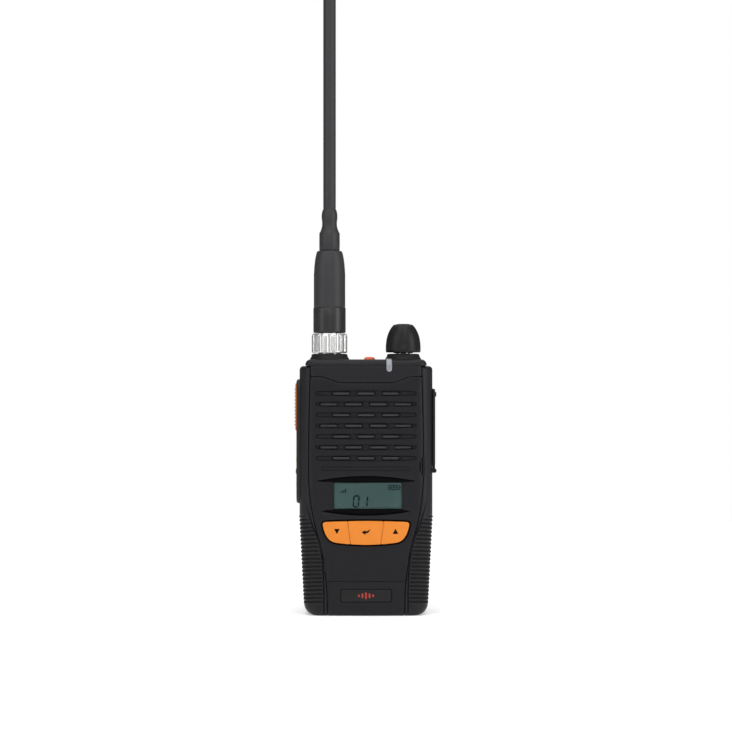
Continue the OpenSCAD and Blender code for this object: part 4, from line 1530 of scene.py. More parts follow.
@dataclass
class Grip:
    """The soft side skin, from the seam beside the panel round to the parting line."""

    side: int
    skin: float = 1.0
    rail_top: Roll = Roll(105.2, 1.7)
    rib_first: float = 6.0
    rib_pitch: float = 1.65
    rib_depth: float = 0.6
    rib_crest: float = 0.4
    rib_steps: int = 8
    rib_top: float = 42.4
    rib_foot: float = 4.9
    rib_back: float = -3.4
    bead: float = 0.28

    def reaches(self, z: float) -> list[float]:
        """The distances along the skin of the columns of corners at a height.

        Args:
            z: The height.

        Returns:
            The distances from the centre line, growing.
        """
        start = BODY.reach(along(SEAM, z) + SEAM_GAP, z)
        edge = BODY.reach(along(BEAD_EDGE, z), z)
        stop = BODY.full_reach(z)
        near = [start, start + 0.07, start + 0.18, start + 0.34]
        bead = [start + 0.34 + (edge - 0.45 - start - 0.34) * t for t in (0.3, 0.65)]
        groove = [edge + d for d in (-0.45, -0.28, -0.14, 0.0, 0.14, 0.28, 0.45, 0.7)]
        wide = list(numpy.linspace(edge + 0.7, stop - 0.3, 30))[1:]
        return [*near, *bead, *groove, *wide, stop - 0.12, stop]

    def relief(self, reach: float, z: float, reaches: Sequence[float]) -> float:
        """How far the skin lies under the body's form, before the ribs are cut.

        Args:
            reach: The distance along the skin.
            z: The height.
            reaches: All the columns at that height.

        Returns:
            The depth.
        """
        near, stop = max(reach - reaches[0], 0.0), max(reaches[-1] - reach, 0.0)
        edge = reaches[9]
        depth = 0.0
        for off, radius in ((near, 0.34), (stop, 0.3)):
            if off < radius:
                depth += radius - math.sqrt(radius**2 - (radius - off) ** 2)
        low = 1 - smooth(z, 44.0, 54.0)
        if reach < edge:
            across = near / (edge - reaches[0])
            depth -= self.bead * math.sin(math.pi * across) * low * smooth(z, 0.6, 5.0)
        depth += 0.42 * low * math.exp(-(((reach - edge) / 0.22) ** 2))
        if self.side > 0 and 58.6 < z < 67.0:
            depth += 0.8 * (1 - smooth(near, 0.5, 0.9)) * smooth(z, 58.8, 59.3) * (1 - smooth(z, 66.3, 66.8))
        return depth

    def rib_share(self, reach: float, z: float, reaches: Sequence[float]) -> float:
        """How deep the ribs are cut at a point, from 0 to 1.

        Args:
            reach: The distance along the skin.
            z: The height.
            reaches: All the columns at that height.

        Returns:
            The share.
        """
        past = reach - reaches[9]
        room = self.rib_top - max(0.0, 3.2 - past) * 0.75 - z
        behind = reaches[-1] - reach + BODY.parting - self.rib_back
        return smooth(past, 0.4, 0.75) * smooth(room, 0.0, 0.5) * smooth(z, self.rib_foot, 5.4) * smooth(
            behind, 4.0, 4.5)

    def rows(self) -> list[float]:
        """The heights of the rows of corners, close together where the ribs are.

        Returns:
            The heights, growing.
        """
        fine = self.rib_pitch / self.rib_steps
        ribs = numpy.arange(self.rib_foot, self.rib_top + fine, fine)
        rail = numpy.linspace(43.0, self.rail_top.end - self.rail_top.radius, 60)
        over = numpy.linspace(0, self.rail_top.radius * math.pi / 2, 8)[1:]
        return [*map(float, ribs), *map(float, rail), *(rail[-1] + float(v) for v in over)]

    def foot_rows(self, reach: float) -> list[float]:
        """The heights of the rows round the foot, from the base up to the ribs.

        Args:
            reach: The distance along the skin from the centre line.

        Returns:
            The heights, growing.
        """
        _, facing = BODY.section(reach, 0.0)
        radius = BODY.foot(facing).radius
        lowest = radius - radius * math.pi / 2
        return [lowest + (self.rib_foot - lowest) * i / 10 for i in range(10)]

    def build(self) -> Piece:
        """Makes the grip.

        Returns:
            The piece.
        """
        shell = Shell()
        shares: list[float] = []
        columns = len(self.reaches(50.0))
        layers = []
        for inner in (0, 1):
            grid = []
            feet = [self.foot_rows(r) for r in self.reaches(self.rib_foot)]
            rows: list[list[float]] = [[f[i] for f in feet] for i in range(10)]
            rows += [[z] * columns for z in self.rows()]
            for heights in rows:
                line = []
                for number, v in enumerate(heights):
                    z = min(max(v, 0.0), self.rail_top.end)
                    reaches = self.reaches(max(z, self.rib_foot))
                    reach = reaches[number]
                    depth = self.skin if inner else self.relief(reach, v, reaches)
                    place = BODY.at(self.side * reach, v, depth, self.rail_top)
                    line.append(shell.corner(place))
                    shares.append(0.0 if inner else self.rib_share(reach, v, reaches))
                grid.append(line)
            front = [shell.corners[i] for i in grid[0]]
            under = []
            for number, point in enumerate(front):
                t = number / (columns - 1)
                y = front[0].y + (BODY.parting - front[0].y) * t
                under.append(shell.corner(Vector((front[0].x, y, point.z))))
                shares.append(0.0)
            grid.insert(0, under)
            layers.append(grid)
        outer, inner_grid = layers
        for low, high in pairwise(outer):
            shell.band(high, low, closed=False)
        for low, high in pairwise(inner_grid):
            shell.band(low, high, closed=False)
        for line in (0, -1):
            pair = (inner_grid[line], outer[line]) if line else (outer[line], inner_grid[line])
            shell.band(*pair, closed=False)
        for column in (0, -1):
            rims = ([row[column] for row in outer], [row[column] for row in inner_grid])
            shell.band(*(rims if column else rims[::-1]), closed=False)
        if self.side > 0:
            shell.faces = [tuple(reversed(f)) for f in shell.faces]
        name = "left_grip_skin" if self.side < 0 else "right_grip_skin"
        piece = shell.piece(name, GRIP, closed=False)
        share = piece.data.attributes.new("rib_share", "FLOAT", "POINT")
        share.data.foreach_set("value", shares)
        rib_shaper().use(piece, GRIP, First=(self.rib_first) * MM, Pitch=self.rib_pitch * MM,
                         Depth=self.rib_depth * MM, Crest=self.rib_crest)
        return piece


@dataclass
class FrontKeys:
    """The strip of three orange keys, which follows the front, and the symbols on them."""

    proud: float = 0.6
    rim_depth: float = 2.9
    gap: float = 0.06
    ink: float = 0.03

    def strip(self, grown: float) -> Outline:
        """The outline of the whole strip, grown on every side.

        Args:
            grown: How far it is grown.

        Returns:
            The outline.
        """
        right = curve((0, 30.1), ((7.5, 30.2), (12.9, 31.0), 5), ((17.0, 31.8), (18.1, 38.2), 7),
                      ((18.4, 39.5), (17.0, 39.65), 4), ((8.0, 40.05), (0, 40.1), 5))
        whole = [*right, *mirrored(right)[1:-1]]
        return shape(shape(whole)(-grown))

    def key(self, *cuts: tuple[Point, Point]) -> Shell:
        """One key: what the cuts leave of the strip, with a soft edge.

        Args:
            cuts: Each cut's two points, with the key on its left.

        Returns:
            The skin.
        """
        points = self.strip(0.0)(0.0)
        for a, b in cuts:
            points = clipped(points, a, b)
        rings = ((0.0, self.rim_depth), (0.0, -self.proud + 0.14), (0.05, -self.proud + 0.04),
                 (0.14, -self.proud))
        return Shell().slab(Patch(shape(eased(points, 0.5)), rings), BODY, step=0.9)

    def symbol(self, shell: Shell, points: Sequence[Point]) -> None:
        """Prints a symbol on a key: a very thin plate with its own finish.

        Args:
            shell: The key's skin.
            points: The symbol's corners, anticlockwise.
        """
        top = -self.proud - self.ink
        rings = ((0.0, top + 0.25), (0.0, top + 0.01), (0.02, top))
        shell.slab(Patch(shape(points), rings, finish=1), BODY)

    def build(self) -> dict[str, Piece]:
        """Makes the three keys.

        Returns:
            Each key's piece, by the name of its body.
        """
        top_z, low_z = 42.0, 28.0
        left = ((-8.08, top_z), (-6.15, low_z))
        right = ((7.72, top_z), (5.8, low_z))
        g = self.gap
        cut = {
            "down_key": [((left[1][0] - g, low_z), (left[0][0] - g, top_z))],
            "enter_key": [((left[0][0] + g, top_z), (left[1][0] + g, low_z)),
                          ((right[1][0] - g, low_z), (right[0][0] - g, top_z))],
            "up_key": [((right[0][0] + g, top_z), (right[1][0] + g, low_z))],
        }
        symbols = {
            "down_key": [(-13.35, 36.8), (-12.2, 34.6), (-11.05, 36.8)],
            "up_key": [(11.2, 34.7), (13.5, 34.7), (12.35, 36.9)],
            "enter_key": [(-1.8, 35.35), (-0.2, 34.3), (-0.3, 34.9), (0.95, 35.2), (1.95, 36.8),
                          (0.45, 35.9), (-0.35, 35.75), (-0.2, 36.4)],
        }
        made = {}
        for name, cuts in cut.items():
            shell = self.key(*cuts)
            self.symbol(shell, symbols[name])
            made[name] = shell.piece(f"{name}_cap", KEY, KEY_INK)
        return made


@dataclass
class Display:
    """The black window, the clear pane in it and the liquid crystal display behind."""

    panel: FrontPanel
    window_depth: float = 1.15
    pane_depth: float = 1.3
    lcd_depth: float = 1.95

    def inner(self) -> Outline:
        """The outline of the clear pane.

        Returns:
            The outline.
        """
        p = self.panel
        middle = ((p.lcd_left + p.lcd_right) / 2, (p.lcd_low + p.lcd_high) / 2 + 0.1)
        return round_box(*middle, p.lcd_right - p.lcd_left - 0.1, p.lcd_high - p.lcd_low - 0.5, 0.35)

    def window(self) -> Piece:
        """The printed window, with its opening over the display.

        Returns:
            The piece.
        """
        d = self.window_depth
        hole = Patch(self.inner(), ((0.0, d), (0.06, d + 0.05), (0.06, d + 0.9)), through=True)
        rings = ((0.06, d + 0.9), (0.06, d + 0.05), (0.14, d))
        whole = Patch(shape(self.panel.display_edge()), rings, (hole,))
        return Shell().slab(whole, BODY, step=1.4).piece("display_window_frame", PIANO)

    def pane(self) -> Piece:
        """The clear pane in the window.

        Returns:
            The piece.
        """
        d = self.pane_depth
        whole = Patch(self.inner(), ((0.1, d + 0.3), (0.1, d + 0.02), (0.14, d)))
        return Shell().slab(whole, BODY, step=2.0).piece("display_pane", CLEAR)

    def segment(self, shell: Shell, a: Point, b: Point, width: float, lean: float = 0.0) -> None:
        """One dark bar of the display, from a to b, with pointed ends.

        Args:
            shell: The skin it is added to.
            a, b: Its ends, where a is lower or further left.
            width: Its width.
            lean: How far its top leans to the right, as a share of its height.
        """
        (ax, ay), (bx, by) = a, b
        length = math.dist(a, b)
        ux, uy = (bx - ax) / length * width / 2, (by - ay) / length * width / 2
        corners = [(ax, ay), (ax + ux + uy, ay + uy - ux), (bx - ux + uy, by - uy - ux), (bx, by),
                   (bx - ux - uy, by - uy + ux), (ax + ux - uy, ay + uy + ux)]
        corners = [(x + lean * (y - 48.0), y) for x, y in corners]
        top = self.lcd_depth - 0.03
        shell.slab(Patch(shape(corners), ((0.0, top + 0.02), (0.01, top)), finish=1), BODY)

    def digit(self, shell: Shell, x: float, z: float, lit: str) -> None:
        """A seven-segment digit.

        Args:
            shell: The skin it is added to.
            x, z: Its lower left corner.
            lit: The letters, a to g, of the bars that are dark.
        """
        w, h, bar, gap = 2.2, 2.3, 0.6, 0.1
        ends = {
            "a": ((0, 2 * h), (w, 2 * h)), "b": ((w, h), (w, 2 * h)), "c": ((w, 0), (w, h)),
            "d": ((0, 0), (w, 0)), "e": ((0, 0), (0, h)), "f": ((0, h), (0, 2 * h)), "g": ((0, h), (w, h))}
        for letter in lit:
            (ax, ay), (bx, by) = ends[letter]
            level_bar = ay == by
            dx, dy = (gap, 0) if level_bar else (0, gap)
            self.segment(shell, (x + ax + dx, z + ay + dy), (x + bx - dx, z + by - dy), bar, 0.08)

    def lcd(self) -> Piece:
        """The display itself: a plate with its dark segments.

        Returns:
            The piece.
        """
        d = self.lcd_depth
        plate = Patch(round_box(0.8, 50.6, 31.6, 13.2, 0.3), ((0.0, d + 1.2), (0.0, d + 0.02), (0.03, d)))
        shell = Shell().slab(plate, BODY, step=2.0)
        self.digit(shell, -5.3, 45.9, "abcdef")
        self.digit(shell, -1.7, 45.9, "bc")
        for i in range(4):
            x = -10.9 + 0.75 * i
            self.segment(shell, (x, 51.7), (x, 52.35 + 0.42 * i), 0.42)
        left, right, low, high = 9.6, 14.2, 53.2, 55.0
        cell = [((left, low), (right, low)), ((left, high), (right, high)), ((left, low), (left, high)),
                ((right, low), (right, high)), ((right + 0.45, low + 0.5), (right + 0.45, high - 0.5))]
        for a, b in cell:
            self.segment(shell, a, b, 0.32)
        for x in (left + 1.0 + 1.25 * i for i in range(3)):
            self.segment(shell, (x, low + 0.35), (x, high - 0.35), 0.85)
        return shell.piece("display_panel", LCD, LCD_INK)


@dataclass
class Badge:
    """The small plate in the recess at the foot, with five painted bars as its emblem."""

    middle_z: float = 8.7
    depth: float = 0.2

    def build(self) -> Piece:
        """Makes the plate.

        Returns:
            The piece.
        """
        shell = Shell()
        d = self.depth
        rings = ((0.0, d + 0.5), (0.0, d + 0.15), (0.05, d + 0.04), (0.18, d))
        shell.slab(Patch(round_box(0, self.middle_z, 21.1, 5.15, 0.5), rings), BODY, step=2.0)
        for number, height in enumerate((1.1, 2.0, 2.9, 2.0, 1.1)):
            bar = round_box((number - 2) * 1.5, self.middle_z, 0.75, height, 0.36)
            shell.slab(Patch(bar, ((0.0, d + 0.2), (0.0, d - 0.03), (0.05, d - 0.06)), finish=1), BODY)
        return shell.piece("badge_emblem_plate", BADGE, EMBLEM)


@dataclass
class Grille:
    """The perforated sheet behind the slots."""

    width: float = 42.0
    height: float = 31.0
    pitch: float = 0.9
    hole: float = 0.29
    thick: float = 0.25
    middle_z: float = 80.0
    depth: float = 1.4

    def tile(self) -> Piece:
        """One square of the sheet, with an eight-sided hole.

        Returns:
            The piece.
        """
        half = self.pitch / 2
        square = [(half, -half), (half, 0.0), (half, half), (0.0, half), (-half, half), (-half, 0.0),
                  (-half, -half), (0.0, -half)]
        hole = arc(0, 0, self.hole, -45, 270, 7)
        shell = Shell()
        front = Plane(Vector((0, 0, 0)), Vector((1, 0, 0)), Vector((0, 0, 1)))
        rings = [
            [shell.corner(front.place(*p, depth)) for p in points]
            for points, depth in ((square, self.thick), (square, 0.0), (hole, 0.0), (hole, self.thick))
        ]
        for a, b in ((1, 2), (2, 3), (3, 0)):
            shell.band(rings[a], rings[b])
        return shell.piece("mesh_tile", MESH, closed=False)

    def build(self) -> Piece:
        """Makes the sheet.

        Returns:
            The piece.
        """
        tile = self.tile()
        sheet = shown("speaker_mesh_sheet", bpy.data.meshes.new("speaker_mesh_sheet"))
        across, up = round(self.width / self.pitch), round(self.height / self.pitch)
        mesh_shaper().use(
            sheet, MESH, Tile=tile, Width=(across - 1) * self.pitch * MM, Height=(up - 1) * self.pitch * MM,
            Across=across, Up=up, Middle=(0.0, (BODY.front + self.depth) * MM, self.middle_z * MM),
            Crown_Radius=BODY.crown_radius * MM)
        drop(tile)
        return sheet


# ---- The top ----


@dataclass
class TopControls:
    """The volume knob, the collars, the alarm button and the light."""

    knob_radius: float = 7.4
    flutes: int = 6
    flute_depth: float = 0.5

    def knob_wave(self, radius: float, z: float, angle: float) -> float:
        """The knob's radius where broad flutes run up its side.

        Args:
            radius, z, angle: A point of the plain profile.

        Returns:
            The radius there.
        """
        if radius < 3.0 or z < 111.6:
            return radius
        crest = max(0.0, math.cos(self.flutes * (angle - math.pi / self.flutes))) ** 1.6
        share = smooth(z, 112.3, 114.2) * smooth(radius, 2.9, 4.4)
        return radius - self.flute_depth * crest * share

    def knob(self) -> Piece:
        """The volume knob.

        Returns:
            The piece.
        """
        r = self.knob_radius
        side = curve((r, 112.2), ((r + 0.1, 119.0), (4.25, 122.45), 18), ((3.95, 122.75), (3.55, 122.8), 4))
        profile = [
            (0.0, 110.6), (3.9, 110.6), (4.15, 110.7), (4.15, 110.95), (r - 0.5, 110.95), (r - 0.15, 111.05),
            (r, 111.35), *side, (3.4, 122.75), (3.3, 122.65), (3.1, 122.65), (2.9, 122.95), (2.2, 123.08),
            (0.0, 123.1)]
        return Shell().turn(profile, KNOB_AXIS, 120, wave=self.knob_wave).piece("volume_knob_cap", KNOB)

    def collar(self, name: str, axis: Point, foot: float, head: float) -> Piece:
        """One of the low rings that the antenna and the knob rise from.

        Args:
            name: The piece's name.
            axis: The X and Y of its axis.
            foot, head: Its radii at the bottom and the top.

        Returns:
            The piece.
        """
        flare = bend((foot, 108.5), (head + 0.1, 109.0), (head, 110.0), 6)
        profile = [
            (head - 2.0, 107.9), (foot + 0.15, 107.9), (foot + 0.1, 108.2), *flare, (head - 0.12, 110.2),
            (head - 0.35, 110.28), (head - 0.5, 110.2), (head - 0.65, 110.28), (head - 0.9, 110.4),
            (head - 2.0, 110.4), (head - 2.0, 107.9)]
        return Shell().turn(profile, axis, 96).piece(name, RUBBER)

    def alarm(self) -> Piece:
        """The alarm button: a low dome with a soft edge."""
        profile = [(0.0, 103.4), (2.9, 103.4), (3.0, 103.6), (3.0, 104.6), (2.9, 104.8), (2.35, 104.8),
                   *curve((2.35, 108.0), ((2.3, 108.8), (1.3, 109.05), 7)), (0.7, 109.1), (0.0, 109.1)]
        return Shell().turn(profile, ALARM_AXIS).piece("alarm_button_cap", ALARM)

    def light(self) -> Piece:
        """The light pipe, which bends over the front edge of the cap.

        Returns:
            The piece.
        """
        half, low, high = 1.2, 103.95, 109.3
        middle = 9.75
        edge = [*arc(middle, low, half, 180, 360, 12), *arc(middle + half - 0.5, high, 0.5, 0, 90, 3),
                *arc(middle - half + 0.5, high, 0.5, 90, 180, 3)]
        rings = ((0.0, 1.0), (0.0, 0.0), (0.06, -0.14), (0.2, -0.24), (0.5, -0.3))
        return Shell().slab(Patch(shape(edge), rings), BODY, step=0.6).piece("led_light_pipe", PIPE)


@dataclass
class Antenna:
    """The coupling nut, the moulded foot, the boot and the whip."""

    nut_radius: float = 7.6
    nut_flutes: int = 12
    flute_depth: float = 0.55
    flute_low: float = 111.3
    flute_high: float = 118.0
    tip_z: float = 360.0

    def nut_wave(self, radius: float, z: float, angle: float) -> float:
        """The nut's radius where round flutes are milled up its side and out at its top.

        Args:
            radius, z, angle: A point of the plain profile.

        Returns:
            The radius there.
        """
        if radius < 6.5:
            return radius
        crest = max(0.0, math.cos(self.nut_flutes * angle) - 0.1) / 0.9
        floor = self.nut_radius - self.flute_depth * math.sqrt(crest)
        return min(radius, floor) if z > self.flute_low else radius

    def nut(self) -> Piece:
        """The fluted coupling nut, with fine knurling on the lands between its flutes.

        Returns:
            The piece.
        """
        r = self.nut_radius
        profile = [
            (5.0, 110.7), (r - 0.45, 110.7), (r - 0.12, 110.85), (r, 111.1), (r, 111.3), (r, 111.35),
            *((r, 111.6 + 0.8 * i) for i in range(8)), (r, 117.9), (r - 0.1, 118.2), (r - 0.45, 118.75),
            (r - 0.75, 119.0), (6.4, 119.0), (4.3, 119.0), (4.3, 117.5), (5.75, 117.5), (5.75, 111.0),
            (5.0, 110.7)]
        shell = Shell().turn(profile, ANTENNA_AXIS, 288, wave=self.nut_wave)
        piece = shell.piece("coupling_nut_sleeve", NICKEL, KNURL)
        flute_edge = (self.nut_radius - 0.02) * MM
        for face in piece.data.polygons:
            x, y, z = face.center
            radius = math.hypot(x - ANTENNA_AXIS[0] * MM, y - ANTENNA_AXIS[1] * MM)
            if radius > flute_edge and self.flute_low + 0.2 < z / MM < self.flute_high:
                face.material_index = 1
        return piece

    def part(self, name: str, profile: Sequence[Point], finish: Finish) -> Piece:
        """One turned part of the antenna."""
        return Shell().turn(profile, ANTENNA_AXIS, 72).piece(name, finish)

    def sleeve(self) -> Piece:
        """The ribless sleeve over the plug.

        Returns:
            The piece.
        """
        r = 6.87
        profile = [
            (4.9, 119.2), *curve((6.35, 119.2), ((r, 119.3), (r, 119.9), 5)), (r, 122.0), (r, 126.0),
            (r, 129.7), (r - 0.1, 129.9), (r - 0.25, 129.98), (4.9, 129.98), (4.9, 119.2)]
        return self.part("antenna_sleeve_skin", profile, SLEEVE_RUBBER)

    def foot(self) -> Piece:
        """The moulded foot, which narrows at its top.

        Returns:
            The piece.
        """
        r = 6.67
        side = [(r - 0.12, 130.02), (r, 130.2), *((r, float(z)) for z in numpy.linspace(131, 144.3, 10)),
                (r - 0.05, 144.55), (r - 0.05, 144.8)]
        neck = bend((6.6, 144.9), (6.4, 150.2), (5.45, 153.5), 12)
        profile = [(4.3, 130.02), *side, *neck, (5.25, 153.85), (4.85, 154.05), (4.3, 154.05), (4.3, 130.02)]
        return self.part("antenna_foot_skin", profile, MAST)

    def boot(self) -> Piece:
        """The boot between the foot and the whip, with its two soft swellings."""
        side = [(4.2, 154.1), (4.33, 154.3), (4.36, 157.5), (4.33, 161.4), (4.22, 161.8), (4.08, 162.0),
                *curve((3.98, 162.1), ((3.5, 163.2), (3.25, 164.3), 6), ((3.02, 165.5), (3.22, 167.0), 5),
                       ((3.5, 168.7), (3.25, 170.1), 6), ((3.05, 171.2), (2.75, 171.7), 5)),
                (2.68, 171.95)]
        return self.part("antenna_boot_skin", [(0.0, 154.1), *side, (0.0, 171.95)], MAST)

    def whip(self) -> Piece:
        """The flexible whip and the moulded tip.

        Returns:
            The piece.
        """
        r, tip = 2.67, self.tip_z
        shaft = [(r, float(z)) for z in numpy.linspace(172.2, tip - 7.2, 24)]
        cap = [(r + 0.28, tip - 6.6), (r + 0.35, tip - 6.2),
               *curve((r + 0.35, tip - 3.0), ((r + 0.3, tip), (0.8, tip), 8)), (0.0, tip)]
        return self.part("antenna_whip_skin", [(0.0, 171.97), (r - 0.1, 171.97), *shaft, *cap], MAST)


# ---- The sides ----


@dataclass
class SideKeys:
    """The bezel on the left with the transmit button and the two small keys."""

    face_x: float = -29.45
    foot_x: float = -27.4
    middle_z: float = 73.3
    windows: tuple[tuple[float, float, float], ...] = ((87.8, 20.2, 6.8), (65.6, 3.6, 6.0), (55.7, 3.2, 6.0))

    def bezel(self) -> Piece:
        """The bezel: a soft-edged plate with three windows.

        Returns:
            The piece.
        """
        high = self.foot_x - self.face_x
        windows = tuple(
            Patch(round_box(-SIDE_Y, z, width + 0.3, length + 0.3, min(width, length) / 2 - 0.25, 6),
                  ((0.0, 0.0), (0.05, 0.08), (0.12, 0.3), (0.12, high)), through=True)
            for z, length, width in self.windows)
        rings = ((0.0, high), (0.0, 1.1), (0.12, 0.55), (0.4, 0.18), (0.85, 0.0))
        plate = Patch(round_box(-SIDE_Y, self.middle_z, 9.9, 52.7, 4, 8), rings, windows)
        bump = Patch(round_box(-SIDE_Y, 60.65, 5.4, 2.2, 1.05, 6),
                     ((0.0, 0.3), (0.0, -0.05), (0.1, -0.2), (0.35, -0.3)))
        face = facing_left(self.face_x)
        return Shell().slab(plate, face).slab(bump, face).piece("side_key_bezel", BEZEL)

    def button(self, name: str, number: int, proud: float, finish: Finish) -> Piece:
        """One button: a rounded cap, the flange behind the bezel and the stud that meets its switch.

        Args:
            name: The piece's name.
            number: Which window it stands in.
            proud: How far it stands out of the bezel.
            finish: What it is made of.

        Returns:
            The piece.
        """
        z, length, width = self.windows[number]
        radius = min(width, length) / 2 - 0.3
        y = -SIDE_Y
        shell = Shell()
        rings = ((0.0, proud + 2.6), (0.0, 0.5), (0.1, 0.2), (0.3, 0.04), (0.6, 0.0))
        shell.slab(Patch(round_box(y, z, width, length, radius, 8), rings), facing_left(self.face_x - proud))
        flange = round_box(y, z, width + 0.9, length + 0.9, radius, 6)
        shell.slab(Patch(flange, ((0.0, 0.95), (0.0, 0.1), (0.1, 0.0))), facing_left(self.foot_x + 0.65))
        stud = disc(y, z, 1.1, 16)
        reach = 1.8 - (1.2 if number == 0 else 0.8)
        shell.slab(Patch(stud, ((0.1, reach), (0.0, reach - 0.1), (0.0, 0.0))), facing_left(-26.1))
        return shell.piece(name, finish)

    def transmit(self) -> Piece:
        """The transmit button with its row of fine ridges.

        Returns:
            The piece.
        """
        # The button and its ridges wear the darker painted-shade copy of the key orange.
        piece = self.button("transmit_button_cap", 0, 0.55, SIDE_KEY_SHADED_ORANGE)
        bar = ridge_bar((0.5, 4.6, 0.8), SIDE_KEY_SHADED_ORANGE)
        low = self.windows[0][0] - 7.5
        row_shaper().use(piece, SIDE_KEY_SHADED_ORANGE, Piece=bar, Count=11, Step=(0.0, 0.0, 1.5 * MM),
                         Start=((self.face_x - 0.35) * MM, SIDE_Y * MM, low * MM))
        drop(bar)
        return piece


@dataclass
class JackSide:
    """The rubber cover on the right, its hinge, and the plate with the two jacks."""

    plane_x: float = 28.1
    hinge: Point = (29.0, 60.9)

    def cover(self) -> Piece:
        """The cover: a soft plate with a raised field, a finger tab and the hinge's knuckle.

        Returns:
            The piece.
        """
        shell = Shell()
        x = self.plane_x
        outer = round_box(SIDE_Y, 78.9, 10, 33.4, 2.5, 8)
        field_edge = Patch(round_box(SIDE_Y, 79.4, 6.6, 27.0, 1.6, 6),
                           ((0.0, 0.0), (0.12, 0.06), (0.25, 0.22), (0.45, 0.25)))
        rings = ((0.25, 1.13), (0.0, 0.95), (0.0, 0.65), (0.12, 0.25), (0.4, 0.05), (0.75, 0.0))
        shell.slab(Patch(outer, rings, (field_edge,)), facing_right(x + 1.18))
        tab = round_box(SIDE_Y, 93.2, 4.4, 2.0, 0.9, 5)
        shell.slab(Patch(tab, ((0.0, 0.3), (0.0, -0.3), (0.1, -0.45), (0.3, -0.52))), facing_right(x + 1.18))
        neck = round_box(SIDE_Y, 62.0, 6.2, 2.2, 0.3, 3)
        shell.slab(Patch(neck, ((0.0, 0.9), (0.0, 0.1), (0.1, 0.0))), facing_right(x + 1.15))
        self.bar(shell, 0.85, -10.1, -3.9)
        self.bar(shell, 0.5, -11.3, -2.7)
        return shell.piece("jack_cover_flap", RUBBER)

    def bar(self, shell: Shell, radius: float, start: float, stop: float) -> None:
        """Adds a round bar along the hinge's axis, between two planes across Y.

        Args:
            shell: The skin that it is added to.
            radius: Its radius.
            start, stop: The Y of its two ends.
        """
        hx, hz = self.hinge
        circle = disc(-hx, hz, radius)
        length = stop - start
        rings = ((0.1, length), (0.0, length - 0.1), (0.0, 0.1), (0.1, 0.0))
        shell.slab(Patch(circle, rings), facing_back(stop))

    def plate(self) -> Piece:
        """The plate that the jacks and the hinge's ears are in.

        Returns:
            The piece.
        """
        jacks = tuple(bore(-6.5, z, r, 0.12, 1.0, through=True) for z, r in ((87.0, 2.3), (75.0, 1.8)))
        rings = ((0.0, 1.0), (0.0, 0.12), (0.1, 0.0))
        plate = Patch(round_box(SIDE_Y, 76.9, 9.1, 34.1, 2.2, 6), rings, jacks)
        shell = Shell().slab(plate, facing_right(self.plane_x))
        hx, hz = self.hinge
        hole = Patch(disc(-hx, hz, 0.55, 12), ((0.0, 0.0), (0.0, 1.2)), through=True)
        root, radius = 0.3 - self.plane_x, 0.85
        ear = [(root, hz - radius), (root, hz + radius), *arc(-hx, hz, radius, 90, 270, 10)]
        for y in (-10.3, -2.5):
            rings = ((0.06, 1.2), (0.0, 1.1), (0.0, 0.1), (0.06, 0.0))
            shell.slab(Patch(shape(ear), rings, (hole,)), facing_back(y))
        return shell.piece("jack_side_plate", BEZEL)

    def fitted(self, grip: Piece) -> Piece:
        """The right grip with room for the plate."""
        room = round_box(SIDE_Y, 76.9, 9.25, 34.25, 2.25, 6)
        return pocketed(grip, room, 5.0, facing_right(self.plane_x + 1.5))


# ---- The back ----


def body_outline(inset: float) -> list[Point]:
    """The body's outline from the front or the back, drawn in.

    Args:
        inset: How far it is drawn in.

    Returns:
        The corners, anticlockwise.
    """
    foot = max(BODY.foot_z - inset, 0.1)
    rail = max(1.6 - inset, 0.1)
    half, base = BODY.half_width - inset, BODY.foot_half_width - inset
    right = [
        *arc(base - foot, inset + foot, foot, -90, 0, 8), (half, BODY.taper_z),
        *arc(half - rail, 105.2 - rail - inset * 0.2, rail, 0, 90, 5)]
    return [*right, *mirrored(right)]


def soft_edge(radius: float, depth: float = 0.0, steps: int = 5) -> tuple[Point, ...]:
    """The rings of a round edge, from the outside in.

    Args:
        radius: The edge's radius.
        depth: How deep the face inside it lies.
        steps: How many steps the edge has.

    Returns:
        Pairs of an inset and a depth.
    """
    turns = [math.pi / 2 * i / steps for i in range(steps + 1)]
    return tuple((radius * (1 - math.cos(t)), depth + radius * (1 - math.sin(t))) for t in turns)


def soft_ends(length: float, radius: float) -> tuple[Point, ...]:
    """The rings of a long piece with round edges at both ends.

    Args:
        length: Its length.
        radius: The radius of the edges.

    Returns:
        Pairs of an inset and a depth.
    """
    ends = soft_edge(radius)
    return (*((inset, length - depth) for inset, depth in reversed(ends)), *ends)


@dataclass
class RearHousing:
    """The back half of the body with its shoulder above the battery."""

    front: float = -1.15
    back: float = 6.0
    edge: float = 2.4
    shoulder_half: float = 25.4

    def build(self) -> Piece:
        """Makes the back half.

        Returns:
            The piece.
        """
        deep = self.back - self.front
        screws = [bore(x, 11.0, 2.1, 0.1, 1.4) for x in (-21.8, 21.8)]
        contacts = [bore(x, 20.0, 0.95, 0.08, 1.5, 16) for x in (-6.0, 0.0, 6.0)]
        shell = Shell()
        rings = ((0.3, deep), (0.09, deep - 0.09), (0.0, deep - 0.3), *soft_edge(self.edge))
        shell.slab(Patch(body_outline, rings, (*screws, *contacts)), facing_back(self.back))
        profile = [(5.7, 91.0), (17.0, 91.0), *curve((17.0, 96.4), ((16.9, 103.6), (5.7, 107.2), 14))]
        rings = soft_ends(2 * self.shoulder_half, 1.8)
        shell.slab(Patch(shape(eased(profile, 1.4)), rings), facing_right(self.shoulder_half), step=1.6)
        notch = round_box(0, 92.0, 6.8, 2.6, 0.3, 3)
        return pocketed(shell.piece("rear_shell", BACK), notch, 3.4, facing_back(18.4))


